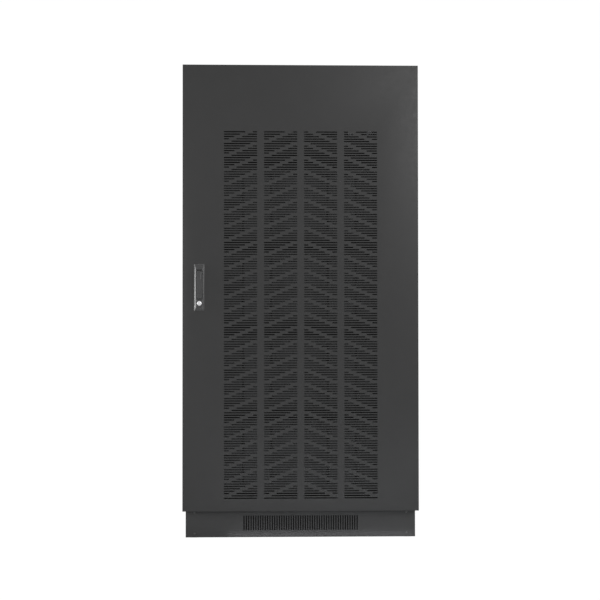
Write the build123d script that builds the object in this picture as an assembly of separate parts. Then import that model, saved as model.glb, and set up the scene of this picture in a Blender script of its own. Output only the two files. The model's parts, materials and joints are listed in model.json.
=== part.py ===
from build123d import *
import math
import os

os.makedirs("parts", exist_ok=True)

# Battery cabinet in millimetres. X runs to the right, the door faces -Y, Z is up.
# The origin is on the floor under the middle of the cabinet, handle included.

# Overall size
HEIGHT = 1905.0
WIDTH = 950.0
DEPTH = 830.0
PLINTH_HEIGHT = 108.0
PLINTH_INSET = 12.5

# Sheet and tube
SHEET = 1.5
TRAY_SHEET = 2.0
TUBE = 40.0
TUBE_WALL = 2.0
PLINTH_TUBE_HEIGHT = 20.0
ANGLE = 25.0
LEG_ANGLE = 40.0
ANGLE_WALL = 3.0
SEAT_GAP = 0.3

# Door leaf
DOOR_DEPTH = 25.0
SEAL_GAP = 6.0
DOOR_SIDE_REVEAL = 1.0
DOOR_TOP_REVEAL = 1.0
DOOR_LIP = 39.0
SEAL_WIDTH = 10.0
SEAL_INSET = 19.0
STIFFENER_WIDTH = 20.0
STIFFENER_DEPTH = 18.0

# Grille: four columns of slots, each row broken by one bridge that shifts from row to row
COLUMNS = 4
MULLION = 26.8
GRILLE_MARGIN = 152.4
FIELD_BELOW_DOOR_TOP = 262.5
FIELD_ABOVE_DOOR_FOOT = 43.5
CHEVRONS = 16
ROWS_PER_CHEVRON = 2
SHEET_ROWS_PER_CHEVRON = 6
SLOT_HEIGHT = 22.0
BRIDGE = 30.5
BRIDGE_START = 86.0
BRIDGE_WRAP = 5.5

# Door hinges
HINGES = 3
HINGE_FROM_FOOT = 192.0
HINGE_FROM_TOP = 204.0
HINGE_INSET = 10.0
HINGE_SETBACK = 15.0
HINGE_PIN_RADIUS = 4.0
HINGE_FIT = 0.05
LUG_WIDTH = 14.0
LUG_THICKNESS = 8.0
EYE_HEIGHT = 16.0
EYE_WIDTH = 18.0
NOTCH_CLEARANCE = 2.0

# Swing handle
HANDLE_INSET = 67.6
BEZEL_WIDTH = 43.4
BEZEL_LENGTH = 190.6
BEZEL_RISE = 8.0
BEZEL_BEVEL = 8.0
BEZEL_END_RISE = 2.0
BEZEL_END_MARGIN = 3.0
DISH_WIDTH = 30.0
DISH_LENGTH = 166.0
DISH_DEPTH = 20.0
SPINDLE_ABOVE_CENTRE = 59.0
LOCK_BELOW_CENTRE = 64.0
CHANNEL_WIDTH = 24.0
CHANNEL_DEPTH = 6.0
FINGER_LENGTH = 46.0
FINGER_FLOOR = 4.0
LEVER_WIDTH = 22.0
LEVER_LENGTH = 104.0
LEVER_PROUD = 20.0
LEVER_CLEARANCE = 0.8
LEVER_TIP_THICKNESS = 7.0
LEVER_PIN_RADIUS = 2.0
SPINDLE_RADIUS = 6.0
SPINDLE_SQUARE = 8.0
LOCK_RADIUS = 9.5
LOCK_PROUD = 4.0
LOCK_BOSS = 34.0
KEYWAY = 2.0
SHAFT_FIT = 0.05

# Three point lock
CRANK_RADIUS = 11.0
CRANK_PIN_RADIUS = 3.0
CRANK_LOBE = 5.0
CAM_THICKNESS = 4.0
CAM_BEHIND_FRAME_FACE = 6.0
TONGUE_REACH = 21.6
TONGUE_WIDTH = 12.0
ROD_WIDTH = 16.0
ROD_THICKNESS = 6.0
ROD_OVERLAP = 10.0
ROD_SIDE_PLAY = 0.15
ROD_END_PLAY = 0.55
KEEPER_PLATE = 2.0
KEEPER_LENGTH = 20.0
KEEPER_WIDTH = 30.0
KEEPER_FOOT = 12.0
KEEPER_REACH = 9.0
GUIDE_WALL = 3.0
GUIDE_HEIGHT = 12.0
GUIDE_PLAY = 0.4
GUIDE_FROM_SPINDLE = 290.0
GUIDE_FROM_TIP = 100.0

# Battery blocks with front terminals; as many stand in a tier as its width holds
TRAY_ABOVE_FLOOR = 27.0
BLOCK_WIDTH = 110.0
CASE_HEIGHT = 255.0
LID_HEIGHT = 33.0
LID_CHAMFER = 5.0
LEAST_BLOCK_GAP = 5.0
BLOCK_SIDE_CLEARANCE = 4.0
HAND_ROOM = 40.0
CABLE_CHASE = 140.5
BLOCK_SETBACK = 13.0
TRAY_SETBACK = 93.0
TRAY_LIP = 25.0
TRAY_SIDE_CLEARANCE = 5.5
TRAY_RIB_WIDTH = 40.0
TRAY_RIB_DEPTH = 15.0
TERMINAL = 18.0
TERMINAL_DEPTH = 12.0
TERMINAL_SPREAD = 27.0
TERMINAL_BELOW_TOP = 17.0
LINK_THICKNESS = 3.0
BAR_HEIGHT = 40.0
BAR_ABOVE_TRAY = 110.0
BAR_LEG = 12.0
BAR_SIDE_CLEARANCE = 1.0
STRAP_WIDTH = 20.0
STRAP_THICKNESS = 4.0
STRAP_BEND = 24.0
STRAP_RISE = 47.0
MAIN_STRAP_OFFSET = 8.0

# Breaker compartment
BREAKER_ROOM = 300.0
PLATE_SIDE_GAP = 32.5
BREAKER_WIDTH = 140.0
BREAKER_HEIGHT = 200.0
BREAKER_DEPTH = 93.0
BREAKER_ABOVE_SHELF = 68.0
BREAKER_POLE = 45.0
TOGGLE_THROW = 50.0
TOGGLE_WIDTH = 24.0
TOGGLE_LENGTH = 62.0
TOGGLE_BARREL = 8.0
TOGGLE_WINDOW = 66.0
TERMINAL_BLOCK = (150.0, 46.0, 70.0)
TERMINAL_WALL = 5.0
EARTH_BAR = (170.0, 6.0, 30.0)
EARTH_STANDOFF = 18.0
SIDE_ITEM_OFFSET = 260.0

# Cable entries
ENTRY_WIDTH = 300.0
FLOOR_ENTRY_DEPTH = 80.0
TOP_ENTRY_DEPTH = 95.0
ENTRY_FROM_RAIL = 5.5
GLAND_PLATE = 3.0
GLAND_PLATE_MARGIN = 12.0
LIFT_HOLE_RADIUS = 6.5
REAR_VENT_ROWS = 4
REAR_VENT_SLOT = (200.0, 8.0)
REAR_VENT_PITCH = 22.0

# Plinth and feet
FLOOR_GAP = 1.5
DOOR_GAP = 2.0
PLINTH_RETURN = 8.0
VENT_SLOTS = 15
VENT_WIDTH = 462.0
VENT_SLOT_WIDTH = 15.0
VENT_ABOVE_FLOOR = 29.0
VENT_BELOW_TOP = 19.0
SCREW_INSET = 36.0
SCREW_LOW = 17.0
SCREW_BELOW_TOP = 7.0
SCREW_RADIUS = 5.0
SCREW_HEAD = 2.5
FOOT_INSET = 31.0
FOOT_PAD_RADIUS = 25.0
FOOT_PAD_HEIGHT = 12.0
FOOT_STEM_RADIUS = 8.0
FOOT_NUT_HEIGHT = 9.0
FOOT_NUT_ACROSS = 24.0
LEG_ABOVE_FLOOR = 10.0

# Levels and planes that follow from the sizes above
FACE_Y = LEVER_PROUD - (DEPTH + LEVER_PROUD) / 2
BACK_Y = FACE_Y + DEPTH
SKIN_BACK_Y = FACE_Y + SHEET
DOOR_BACK_Y = FACE_Y + DOOR_DEPTH
FRAME_Y = DOOR_BACK_Y + SEAL_GAP
REAR_Y = BACK_Y - SHEET
HALF = WIDTH / 2
BODY_X = HALF - DOOR_SIDE_REVEAL
POST_X = BODY_X - SHEET
INNER_X = POST_X - TUBE
BASE_Z = PLINTH_HEIGHT
TOP_Z = HEIGHT - SHEET
DOOR_TOP = HEIGHT - DOOR_TOP_REVEAL
PLINTH_EDGE = HALF - PLINTH_INSET
PLINTH_X = PLINTH_EDGE - SHEET
PLINTH_TUBE_Z = BASE_Z - PLINTH_TUBE_HEIGHT
FLOOR_Z = BASE_Z + TUBE
FRONT_INNER_Y = FRAME_Y + TUBE
REAR_INNER_Y = REAR_Y - TUBE
COLUMN_PITCH = (WIDTH - 2 * GRILLE_MARGIN) / COLUMNS
COLUMN_WIDTH = COLUMN_PITCH - MULLION
FIELD_TOP = DOOR_TOP - FIELD_BELOW_DOOR_TOP
FIELD_HEIGHT = FIELD_TOP - BASE_Z - FIELD_ABOVE_DOOR_FOOT
BRIDGE_SHIFT = (COLUMN_WIDTH - BRIDGE_WRAP) / SHEET_ROWS_PER_CHEVRON
HANDLE_X = -HALF + HANDLE_INSET
HANDLE_HEIGHT = (BASE_Z + DOOR_TOP) / 2
SPINDLE_Z = HANDLE_HEIGHT + SPINDLE_ABOVE_CENTRE
LOCK_Z = HANDLE_HEIGHT - LOCK_BELOW_CENTRE
BEZEL_Y = FACE_Y - BEZEL_RISE
LEVER_FRONT_Y = FACE_Y - LEVER_PROUD
LEVER_BACK_Y = BEZEL_Y - LEVER_CLEARANCE
TRAY_Y = FRAME_Y + TRAY_SETBACK
BLOCK_Y = TRAY_Y + BLOCK_SETBACK
BLOCK_BACK_Y = REAR_Y - CABLE_CHASE
TERMINAL_Y = BLOCK_Y - TERMINAL_DEPTH
LINK_Y = TERMINAL_Y - LINK_THICKNESS
PLATE_Y = LINK_Y + BREAKER_DEPTH
TRAY_X = POST_X - TRAY_SIDE_CLEARANCE
TIER_WIDTH = 2 * (TRAY_X - TRAY_SHEET - BLOCK_SIDE_CLEARANCE)
BLOCKS = int((TIER_WIDTH + LEAST_BLOCK_GAP) / (BLOCK_WIDTH + LEAST_BLOCK_GAP))
BLOCK_PITCH = (TIER_WIDTH - BLOCK_WIDTH) / (BLOCKS - 1)
TIER_PITCH = TRAY_SHEET + CASE_HEIGHT + LID_HEIGHT + HAND_ROOM + TRAY_RIB_DEPTH
FIRST_TRAY = FLOOR_Z + SHEET + TRAY_ABOVE_FLOOR
TIERS = int((TOP_Z - TUBE - BREAKER_ROOM - FIRST_TRAY) / TIER_PITCH)
EQUIPMENT_Z = FIRST_TRAY + TIERS * TIER_PITCH


def block(x, y, z):
    """A straight piece between two planes on each axis."""
    size = (x[1] - x[0], y[1] - y[0], z[1] - z[0])
    return Pos(sum(x) / 2, sum(y) / 2, sum(z) / 2) * Box(*size)


def around(centre, width):
    return (centre - width / 2, centre + width / 2)


def hollow(x, y, z, wall, along):
    """A square tube along one axis, open at both ends."""
    spans = [x, y, z]
    inner = [s if i == along else (s[0] + wall, s[1] - wall) for i, s in enumerate(spans)]
    return block(x, y, z) - block(*inner)


def both_sides(piece):
    return [piece, mirror(piece, Plane.YZ)]


def section_x(points, x):
    """A side outline of Y and Z points, run across from one X to another."""
    face = make_face(Plane.YZ * Polyline(*points, close=True))
    return Pos(x[0], 0, 0) * extrude(face, x[1] - x[0], dir=(1, 0, 0))


def section_y(points, y):
    """A front outline of X and Z points, run back from one Y to another."""
    face = make_face(Plane.XZ * Polyline(*points, close=True))
    return Pos(0, y[0], 0) * extrude(face, y[1] - y[0], dir=(0, 1, 0))


def section_z(points, z):
    face = make_face(Polyline(*points, close=True))
    return Pos(0, 0, z[0]) * extrude(face, z[1] - z[0], dir=(0, 0, 1))


def rod_y(x, z, radius, y):
    return Pos(x, sum(y) / 2, z) * Rot(90, 0, 0) * Cylinder(radius, y[1] - y[0])


def rod_z(x, y, radius, z):
    return Pos(x, y, sum(z) / 2) * Cylinder(radius, z[1] - z[0])


def rod_x(y, z, radius, x):
    return Pos(sum(x) / 2, y, z) * Rot(0, 90, 0) * Cylinder(radius, x[1] - x[0])


def save(name, pieces):
    solids = [s for piece in pieces for s in piece.solids()]
    for solid in solids:
        solid.label = name
    export_step(Compound(label=name, children=solids), f"parts/{name}.step")


# Frame of square tube

def tube_ring(z):
    """The four rails between the posts at one height."""
    front = hollow((-INNER_X, INNER_X), (FRAME_Y, FRONT_INNER_Y), z, TUBE_WALL, 0)
    rear = hollow((-INNER_X, INNER_X), (REAR_INNER_Y, REAR_Y), z, TUBE_WALL, 0)
    side = hollow((INNER_X, POST_X), (FRONT_INNER_Y, REAR_INNER_Y), z, TUBE_WALL, 1)
    return [front, rear] + both_sides(side)


def posts():
    made = []
    for y in ((FRAME_Y, FRONT_INNER_Y), (REAR_INNER_Y, REAR_Y)):
        made += both_sides(hollow((INNER_X, POST_X), y, (BASE_Z, TOP_Z), TUBE_WALL, 2))
    return made


def plinth_rails():
    z = (PLINTH_TUBE_Z, BASE_Z)
    inner = PLINTH_X - TUBE
    made = both_sides(hollow((inner, PLINTH_X), (FRAME_Y, REAR_Y), z, TUBE_WALL, 1))
    middle = around((FRAME_Y + REAR_Y) / 2, TUBE)
    for y in ((FRAME_Y, FRONT_INNER_Y), middle, (REAR_INNER_Y, REAR_Y)):
        made.append(hollow((-inner, inner), y, z, TUBE_WALL, 0))
    return made


def corner_legs():
    """Angles under the plinth corners, to which the covers are screwed."""
    made = []
    for y, turn in ((FRAME_Y, 1), (REAR_Y, -1)):
        points = [
            (PLINTH_X, y),
            (PLINTH_X - LEG_ANGLE, y),
            (PLINTH_X - LEG_ANGLE, y + turn * ANGLE_WALL),
            (PLINTH_X - ANGLE_WALL, y + turn * ANGLE_WALL),
            (PLINTH_X - ANGLE_WALL, y + turn * LEG_ANGLE),
            (PLINTH_X, y + turn * LEG_ANGLE),
        ]
        made += both_sides(section_z(points, (LEG_ABOVE_FLOOR, PLINTH_TUBE_Z)))
    return made


def tray_heights():
    return [FIRST_TRAY + n * TIER_PITCH for n in range(TIERS)]


def tray_rails():
    """Angles from post to post that carry the trays and the equipment shelf."""
    made = []
    for z in tray_heights() + [EQUIPMENT_Z]:
        points = [
            (POST_X, z),
            (POST_X - ANGLE, z),
            (POST_X - ANGLE, z - ANGLE_WALL),
            (POST_X - ANGLE_WALL, z - ANGLE_WALL),
            (POST_X - ANGLE_WALL, z - ANGLE),
            (POST_X, z - ANGLE),
        ]
        made += both_sides(section_y(points, (FRONT_INNER_Y, REAR_INNER_Y)))
    return made


# Enclosure panels

def floor_panel():
    z = (FLOOR_Z, FLOOR_Z + SHEET)
    panel = block((-POST_X + 1, POST_X - 1), (FRAME_Y + TUBE / 2, REAR_Y - 1), z)
    for y in ((FRAME_Y, FRONT_INNER_Y + 0.5), (REAR_INNER_Y - 0.5, REAR_Y)):
        for corner in both_sides(block((INNER_X - 0.5, POST_X), y, z)):
            panel -= corner
    back = REAR_INNER_Y - ENTRY_FROM_RAIL
    return panel - block(around(0, ENTRY_WIDTH), (back - FLOOR_ENTRY_DEPTH, back), z)


def top_entry():
    back = REAR_INNER_Y - ENTRY_FROM_RAIL
    return around(0, ENTRY_WIDTH), (back - TOP_ENTRY_DEPTH, back)


def top_panel():
    z = (TOP_Z, HEIGHT)
    x, y = top_entry()
    panel = block((-BODY_X, BODY_X), (FRAME_Y + SHEET, BACK_Y), z) - block(x, y, z)
    for hole_y in (FRAME_Y + TUBE / 2, REAR_Y - TUBE / 2):
        for hole in both_sides(rod_z(POST_X - TUBE / 2, hole_y, LIFT_HOLE_RADIUS, z)):
            panel -= hole
    return panel


def gland_plate():
    """The blank under the top cut-out."""
    x, y = top_entry()
    z = (TOP_Z - GLAND_PLATE, TOP_Z)
    front = y[0] - GLAND_PLATE_MARGIN
    rear = REAR_INNER_Y - 1
    return block((x[0] - GLAND_PLATE_MARGIN, x[1] + GLAND_PLATE_MARGIN), (front, rear), z)


def rear_panel():
    y = (REAR_Y, BACK_Y)
    panel = block((-BODY_X, BODY_X), y, (BASE_Z, TOP_Z))
    width, height = REAR_VENT_SLOT
    top = TOP_Z - TUBE - REAR_VENT_PITCH
    for row in range(REAR_VENT_ROWS):
        z = around(top - row * REAR_VENT_PITCH, height)
        for slot in both_sides(block(around(width * 0.75, width), y, z)):
            panel -= slot
    return panel


def side_panel():
    """The left one; it lies on the posts and reaches back to the rear panel."""
    return block((-BODY_X, -POST_X), (FRAME_Y + SHEET, REAR_Y), (BASE_Z, TOP_Z))


def plinth_front():
    z = (FLOOR_GAP, BASE_Z - DOOR_GAP)
    points = [
        (FRAME_Y - SHEET, z[0]),
        (FRAME_Y - SHEET, z[1]),
        (FRAME_Y, z[1]),
        (FRAME_Y, z[0] + SHEET),
        (FRAME_Y + PLINTH_RETURN, z[0] + SHEET),
        (FRAME_Y + PLINTH_RETURN, z[0]),
    ]
    cover = section_x(points, (-PLINTH_EDGE, PLINTH_EDGE))
    pitch = VENT_WIDTH / VENT_SLOTS
    slots = []
    for n in range(VENT_SLOTS):
        x = around(-VENT_WIDTH / 2 + (n + 0.5) * pitch, VENT_SLOT_WIDTH)
        vent_z = (VENT_ABOVE_FLOOR, BASE_Z - VENT_BELOW_TOP)
        slots.append(block(x, (FRAME_Y - SHEET, FRAME_Y), vent_z))
    return cover - slots


def plinth_rear():
    z = (FLOOR_GAP, BASE_Z - DOOR_GAP)
    return block((-PLINTH_EDGE, PLINTH_EDGE), (REAR_Y, BACK_Y), z)


def plinth_sides():
    x = (PLINTH_X, PLINTH_X + SHEET)
    return both_sides(block(x, (FRAME_Y, REAR_Y), (FLOOR_GAP + SHEET, BASE_Z - DOOR_GAP)))


def plinth_screws():
    head = Plane.XZ * RegularPolygon(SCREW_RADIUS, 6)
    x = PLINTH_EDGE - SCREW_INSET
    made = []
    for z in (SCREW_LOW, BASE_Z - SCREW_BELOW_TOP):
        screw = extrude(head, SCREW_HEAD, dir=(0, -1, 0))
        made += both_sides(Pos(x, FRAME_Y - SHEET, z) * screw)
    return made


# Battery tiers

def tray(z):
    """A folded tray with a lip all round and two ribs spot-welded under it."""
    y = (TRAY_Y, BLOCK_BACK_Y + 2 * TRAY_SHEET)
    outer = block((-TRAY_X, TRAY_X), y, (z, z + TRAY_LIP))
    wall = TRAY_SHEET
    inner_x = TRAY_X - wall
    inner_y = (y[0] + wall, y[1] - wall)
    made = outer - block((-inner_x, inner_x), inner_y, (z + wall, z + TRAY_LIP))
    rib_end = POST_X - ANGLE - 1
    for share in (0.25, 0.75):
        rib_y = around(y[0] + share * (y[1] - y[0]), TRAY_RIB_WIDTH)
        made += channel_rib(rib_y, (z - TRAY_RIB_DEPTH, z), (-rib_end, rib_end))
    return made


def channel_rib(y, z, x):
    """A U channel with its web down, under a tray."""
    wall = TRAY_SHEET
    points = [
        (y[0], z[1]),
        (y[0], z[0]),
        (y[1], z[0]),
        (y[1], z[1]),
        (y[1] - wall, z[1]),
        (y[1] - wall, z[0] + wall),
        (y[0] + wall, z[0] + wall),
        (y[0] + wall, z[1]),
    ]
    return section_x(points, x)


def block_centres():
    return [(n - (BLOCKS - 1) / 2) * BLOCK_PITCH for n in range(BLOCKS)]


def battery_cases(z):
    spans = (z + TRAY_SHEET, z + TRAY_SHEET + CASE_HEIGHT)
    return [block(around(x, BLOCK_WIDTH), (BLOCK_Y, BLOCK_BACK_Y), spans) for x in block_centres()]


def lid_base(z):
    return z + TRAY_SHEET + CASE_HEIGHT


def battery_lids(z):
    """Lids with both long edges bevelled."""
    low = lid_base(z)
    high = low + LID_HEIGHT
    made = []
    for x in block_centres():
        left, right = around(x, BLOCK_WIDTH)
        points = [
            (left, low),
            (right, low),
            (right, high - LID_CHAMFER),
            (right - LID_CHAMFER, high),
            (left + LID_CHAMFER, high),
            (left, high - LID_CHAMFER),
        ]
        made.append(section_y(points, (BLOCK_Y, BLOCK_BACK_Y)))
    return made


def terminal_z(z):
    return lid_base(z) + LID_HEIGHT - TERMINAL_BELOW_TOP


def battery_terminals(z):
    made = []
    for centre in block_centres():
        for x in (centre - TERMINAL_SPREAD, centre + TERMINAL_SPREAD):
            span = around(terminal_z(z), TERMINAL)
            made.append(block(around(x, TERMINAL), (TERMINAL_Y, BLOCK_Y), span))
    return made


def battery_links(z):
    """Bars from the right terminal of each block to the left one of the next."""
    centres = block_centres()
    made = []
    for here, beyond in zip(centres, centres[1:]):
        start = here + TERMINAL_SPREAD - TERMINAL / 2
        end = beyond - TERMINAL_SPREAD + TERMINAL / 2
        made.append(block((start, end), (LINK_Y, TERMINAL_Y), around(terminal_z(z), TERMINAL)))
    return made


def retaining_bar(z):
    """A portal plate that stands on the tray and holds the row of blocks back."""
    foot = z + TRAY_SHEET
    low = foot + BAR_ABOVE_TRAY
    high = low + BAR_HEIGHT
    edge = TRAY_X - TRAY_SHEET - BAR_SIDE_CLEARANCE
    points = [
        (-edge, foot),
        (-edge, high),
        (edge, high),
        (edge, foot),
        (edge - BAR_LEG, foot),
        (edge - BAR_LEG, low),
        (BAR_LEG - edge, low),
        (BAR_LEG - edge, foot),
    ]
    return section_y(points, (BLOCK_Y - SEAT_GAP - ANGLE_WALL, BLOCK_Y - SEAT_GAP))


def mitred(points):
    """The route with each corner cut by one short run."""
    route = [points[0]]
    for before, corner, after in zip(points, points[1:], points[2:]):
        for end in (before, after):
            away = Vector(end[0] - corner[0], end[1] - corner[1]).normalized() * STRAP_BEND
            route.append((corner[0] + away.X, corner[1] + away.Y))
    return route + [points[-1]]


def strap(points, palms):
    """An insulated copper bar on edge, bent in the XZ plane, with flat palms."""
    face = Plane.XZ * trace(Polyline(*mitred(points)), STRAP_THICKNESS)
    made = Pos(0, LINK_Y, 0) * extrude(face, STRAP_WIDTH, dir=(0, -1, 0))
    for x, z in palms:
        made += block(around(x, TERMINAL), (LINK_Y, TERMINAL_Y), z)
    return made


def battery_straps():
    heights = tray_heights()
    end = block_centres()[-1] + TERMINAL_SPREAD
    made = []
    for low, high in zip(heights, heights[1:]):
        crossing = terminal_z(low) + STRAP_RISE
        start_z = terminal_z(low) - TERMINAL / 2
        end_z = terminal_z(high) + TERMINAL / 2
        points = [(end, start_z), (end, crossing), (-end, crossing), (-end, end_z)]
        palms = [(x, around(terminal_z(z), TERMINAL)) for x, z in ((end, low), (-end, high))]
        made.append(strap(points, palms))
    # The two mains run to the foot of the breaker.
    breaker_foot = EQUIPMENT_Z + TRAY_SHEET + BREAKER_ABOVE_SHELF
    level = breaker_foot - STRAP_RISE
    palm = (breaker_foot - TERMINAL, breaker_foot)
    top = heights[-1]
    points = [(end, terminal_z(top) - TERMINAL / 2), (end, level), (BREAKER_POLE, level)]
    points.append((BREAKER_POLE, breaker_foot))
    palms = [(end, around(terminal_z(top), TERMINAL)), (BREAKER_POLE, palm)]
    made.append(strap(points, palms))
    side = -end - MAIN_STRAP_OFFSET
    foot = terminal_z(heights[0])
    points = [(side, foot - TERMINAL / 2), (side, level), (-BREAKER_POLE, level)]
    points.append((-BREAKER_POLE, breaker_foot))
    palms = [(-end, around(foot, TERMINAL)), (-BREAKER_POLE, palm)]
    made.append(strap(points, palms))
    return made


# Breaker compartment

def breaker_places():
    low = EQUIPMENT_Z + TRAY_SHEET + BREAKER_ABOVE_SHELF
    return (PLATE_Y - BREAKER_DEPTH, PLATE_Y), (low, low + BREAKER_HEIGHT)


def equipment_plate():
    z = (EQUIPMENT_Z + TRAY_SHEET, TOP_Z - TUBE)
    edge = POST_X - PLATE_SIDE_GAP
    return block((-edge, edge), (PLATE_Y, PLATE_Y + TRAY_SHEET), z)


def toggle_pivot():
    y, z = breaker_places()
    return y[0] + TOGGLE_LENGTH / 2, sum(z) / 2


def breaker_body():
    """The case is stepped back at both ends over the connections."""
    y, z = breaker_places()
    step = BREAKER_HEIGHT / 6
    shallow = y[0] + BREAKER_DEPTH / 4
    points = [
        (y[1], z[0]),
        (y[0], z[0]),
        (y[0], z[1] - step),
        (shallow, z[1] - step),
        (shallow, z[1]),
        (y[1], z[1]),
    ]
    case = section_x(points, around(0, BREAKER_WIDTH))
    pivot_y, pivot_z = toggle_pivot()
    window_x = around(0, TOGGLE_WIDTH + 2 * SEAT_GAP)
    window_y = (y[0], pivot_y + TOGGLE_BARREL + SEAT_GAP)
    return case - block(window_x, window_y, around(pivot_z, TOGGLE_WINDOW))


def breaker_toggle():
    """Barrel and blade, at rest tilted up to the on position."""
    y, z = toggle_pivot()
    half = TOGGLE_WIDTH / 2
    blade = [
        (y + TOGGLE_BARREL / 2, z - TOGGLE_BARREL / 2),
        (y - TOGGLE_LENGTH, z - TOGGLE_BARREL / 2 - 2),
        (y - TOGGLE_LENGTH, z + TOGGLE_BARREL / 2 + 2),
        (y + TOGGLE_BARREL / 2, z + TOGGLE_BARREL / 2),
    ]
    made = section_x(blade, (-half, half)) + rod_x(y, z, TOGGLE_BARREL, (-half, half))
    return made.rotate(Axis((0, y, z), (1, 0, 0)), -TOGGLE_THROW / 2)


def output_terminals():
    """Two terminals in a moulded block, with a wall between them."""
    width, depth, height = TERMINAL_BLOCK
    foot = breaker_places()[1][0]
    front = PLATE_Y - depth
    z = (foot, foot + height)
    made = block(around(SIDE_ITEM_OFFSET, width), (front, PLATE_Y), z)
    for x in (SIDE_ITEM_OFFSET - width / 4, SIDE_ITEM_OFFSET + width / 4):
        pocket = around(x, width / 2 - 2 * TERMINAL_WALL)
        made -= block(pocket, (front, front + depth / 2), z)
    return made


def earth_bar():
    """A flat bar on two standoffs."""
    width, thickness, height = EARTH_BAR
    foot = breaker_places()[1][0]
    bar_y = (PLATE_Y - EARTH_STANDOFF - thickness, PLATE_Y - EARTH_STANDOFF)
    made = block(around(-SIDE_ITEM_OFFSET, width), bar_y, (foot, foot + height))
    standoff_z = around(foot + height / 2, height / 2)
    for x in (-SIDE_ITEM_OFFSET - width / 3, -SIDE_ITEM_OFFSET + width / 3):
        made += block(around(x, height / 2), (bar_y[1], PLATE_Y), standoff_z)
    return made


# Door

def slot_spans(row):
    """The open spans of one row of a left column, measured from the column's left edge."""
    share = (row % ROWS_PER_CHEVRON + 0.5) / ROWS_PER_CHEVRON
    sheet_row = share * SHEET_ROWS_PER_CHEVRON - 0.5
    start = (BRIDGE_START - sheet_row * BRIDGE_SHIFT) % (SHEET_ROWS_PER_CHEVRON * BRIDGE_SHIFT)
    spans = [(0.0, start), (start + BRIDGE, COLUMN_WIDTH)]
    return [span for span in spans if span[1] - span[0] > BRIDGE / 4]


def grille_slots():
    """Bridges climb to the right in the left columns; the right columns mirror them."""
    rows = CHEVRONS * ROWS_PER_CHEVRON
    pitch = FIELD_HEIGHT / rows
    y = (FACE_Y, SKIN_BACK_Y)
    made = []
    for column in range(COLUMNS // 2):
        left = -(COLUMNS / 2 - column) * COLUMN_PITCH + (COLUMN_PITCH - COLUMN_WIDTH) / 2
        for row in range(rows):
            z = around(FIELD_TOP - (row + 0.5) * pitch, SLOT_HEIGHT)
            for start, end in slot_spans(row):
                made.append(block((left + start, left + end), y, z))
                made.append(block((-left - end, -left - start), y, z))
    return made


def perforated(outline, y, holes):
    """A plate whose straight-sided holes are cut in its outline before it gets its thickness."""
    face = Plane.XZ * Pos(sum(outline[0]) / 2, sum(outline[1]) / 2) * Rectangle(
        outline[0][1] - outline[0][0], outline[1][1] - outline[1][0]
    )
    wires = []
    for hole in holes:
        box = hole.bounding_box()
        corners = [
            (box.min.X, box.min.Z),
            (box.max.X, box.min.Z),
            (box.max.X, box.max.Z),
            (box.min.X, box.max.Z),
        ]
        wires.append((Plane.XZ * Polyline(*corners, close=True)).wire())
    punched = face.face().make_holes(wires)
    return Pos(0, y[0], 0) * extrude(punched, y[1] - y[0], dir=(0, 1, 0))


def handle_cutout():
    play = 2 * SEAT_GAP
    x = around(HANDLE_X, DISH_WIDTH + play)
    return block(x, (FACE_Y, SKIN_BACK_Y), around(HANDLE_HEIGHT, DISH_LENGTH + play))


def door_skin():
    outline = ((-HALF, HALF), (BASE_Z, DOOR_TOP))
    return perforated(outline, (FACE_Y, SKIN_BACK_Y), grille_slots() + [handle_cutout()])


def hinge_point():
    return HALF - HINGE_INSET, FACE_Y + HINGE_SETBACK


def hinge_heights():
    low = BASE_Z + HINGE_FROM_FOOT
    high = DOOR_TOP - HINGE_FROM_TOP
    return [low + n * (high - low) / (HINGES - 1) for n in range(HINGES)]


def lug_span(height):
    return (height - LUG_THICKNESS, height)


def door_frame():
    """A folded ring behind the skin: its web closes the edge and its lip carries the seal."""
    y = (SKIN_BACK_Y, DOOR_BACK_Y)
    z = (BASE_Z, DOOR_TOP)
    ring = block((-HALF, HALF), y, z)
    inside = HALF - SHEET
    ring -= block((-inside, inside), (y[0], y[1] - SHEET), (z[0] + SHEET, z[1] - SHEET))
    window = HALF - DOOR_LIP
    ring -= block((-window, window), y, (z[0] + DOOR_LIP, z[1] - DOOR_LIP))
    pin_x, pin_y = hinge_point()
    for height in hinge_heights():
        low, high = lug_span(height)
        notch_x = (pin_x - LUG_WIDTH / 2 - NOTCH_CLEARANCE, HALF)
        notch_z = (low - NOTCH_CLEARANCE, high + NOTCH_CLEARANCE)
        ring -= block(notch_x, y, notch_z)
    return ring


def stiffener(x):
    """A U channel behind a mullion, open towards the skin."""
    left, right = around(x, STIFFENER_WIDTH)
    front = SKIN_BACK_Y
    back = front + STIFFENER_DEPTH
    wall = TRAY_SHEET
    points = [
        (left, front),
        (left, back),
        (right, back),
        (right, front),
        (right - wall, front),
        (right - wall, back - wall),
        (left + wall, back - wall),
        (left + wall, front),
    ]
    return section_z(points, (BASE_Z + 2 * SHEET, DOOR_TOP - 2 * SHEET))


def door_stiffeners():
    outer = (COLUMNS / 2) * COLUMN_PITCH + STIFFENER_WIDTH / 2
    places = [(n - COLUMNS / 2) * COLUMN_PITCH for n in range(1, COLUMNS)]
    return [stiffener(x) for x in [-outer] + places + [outer]]


def door_gasket():
    y = (DOOR_BACK_Y, FRAME_Y - SEAT_GAP)
    edge = HALF - SEAL_INSET
    low = BASE_Z + SEAL_INSET - SEAL_WIDTH
    high = DOOR_TOP - SEAL_INSET + SEAL_WIDTH
    outer = block((-edge, edge), y, (low, high))
    inner_x = edge - SEAL_WIDTH
    return outer - block((-inner_x, inner_x), y, (low + SEAL_WIDTH, high - SEAL_WIDTH))


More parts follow.
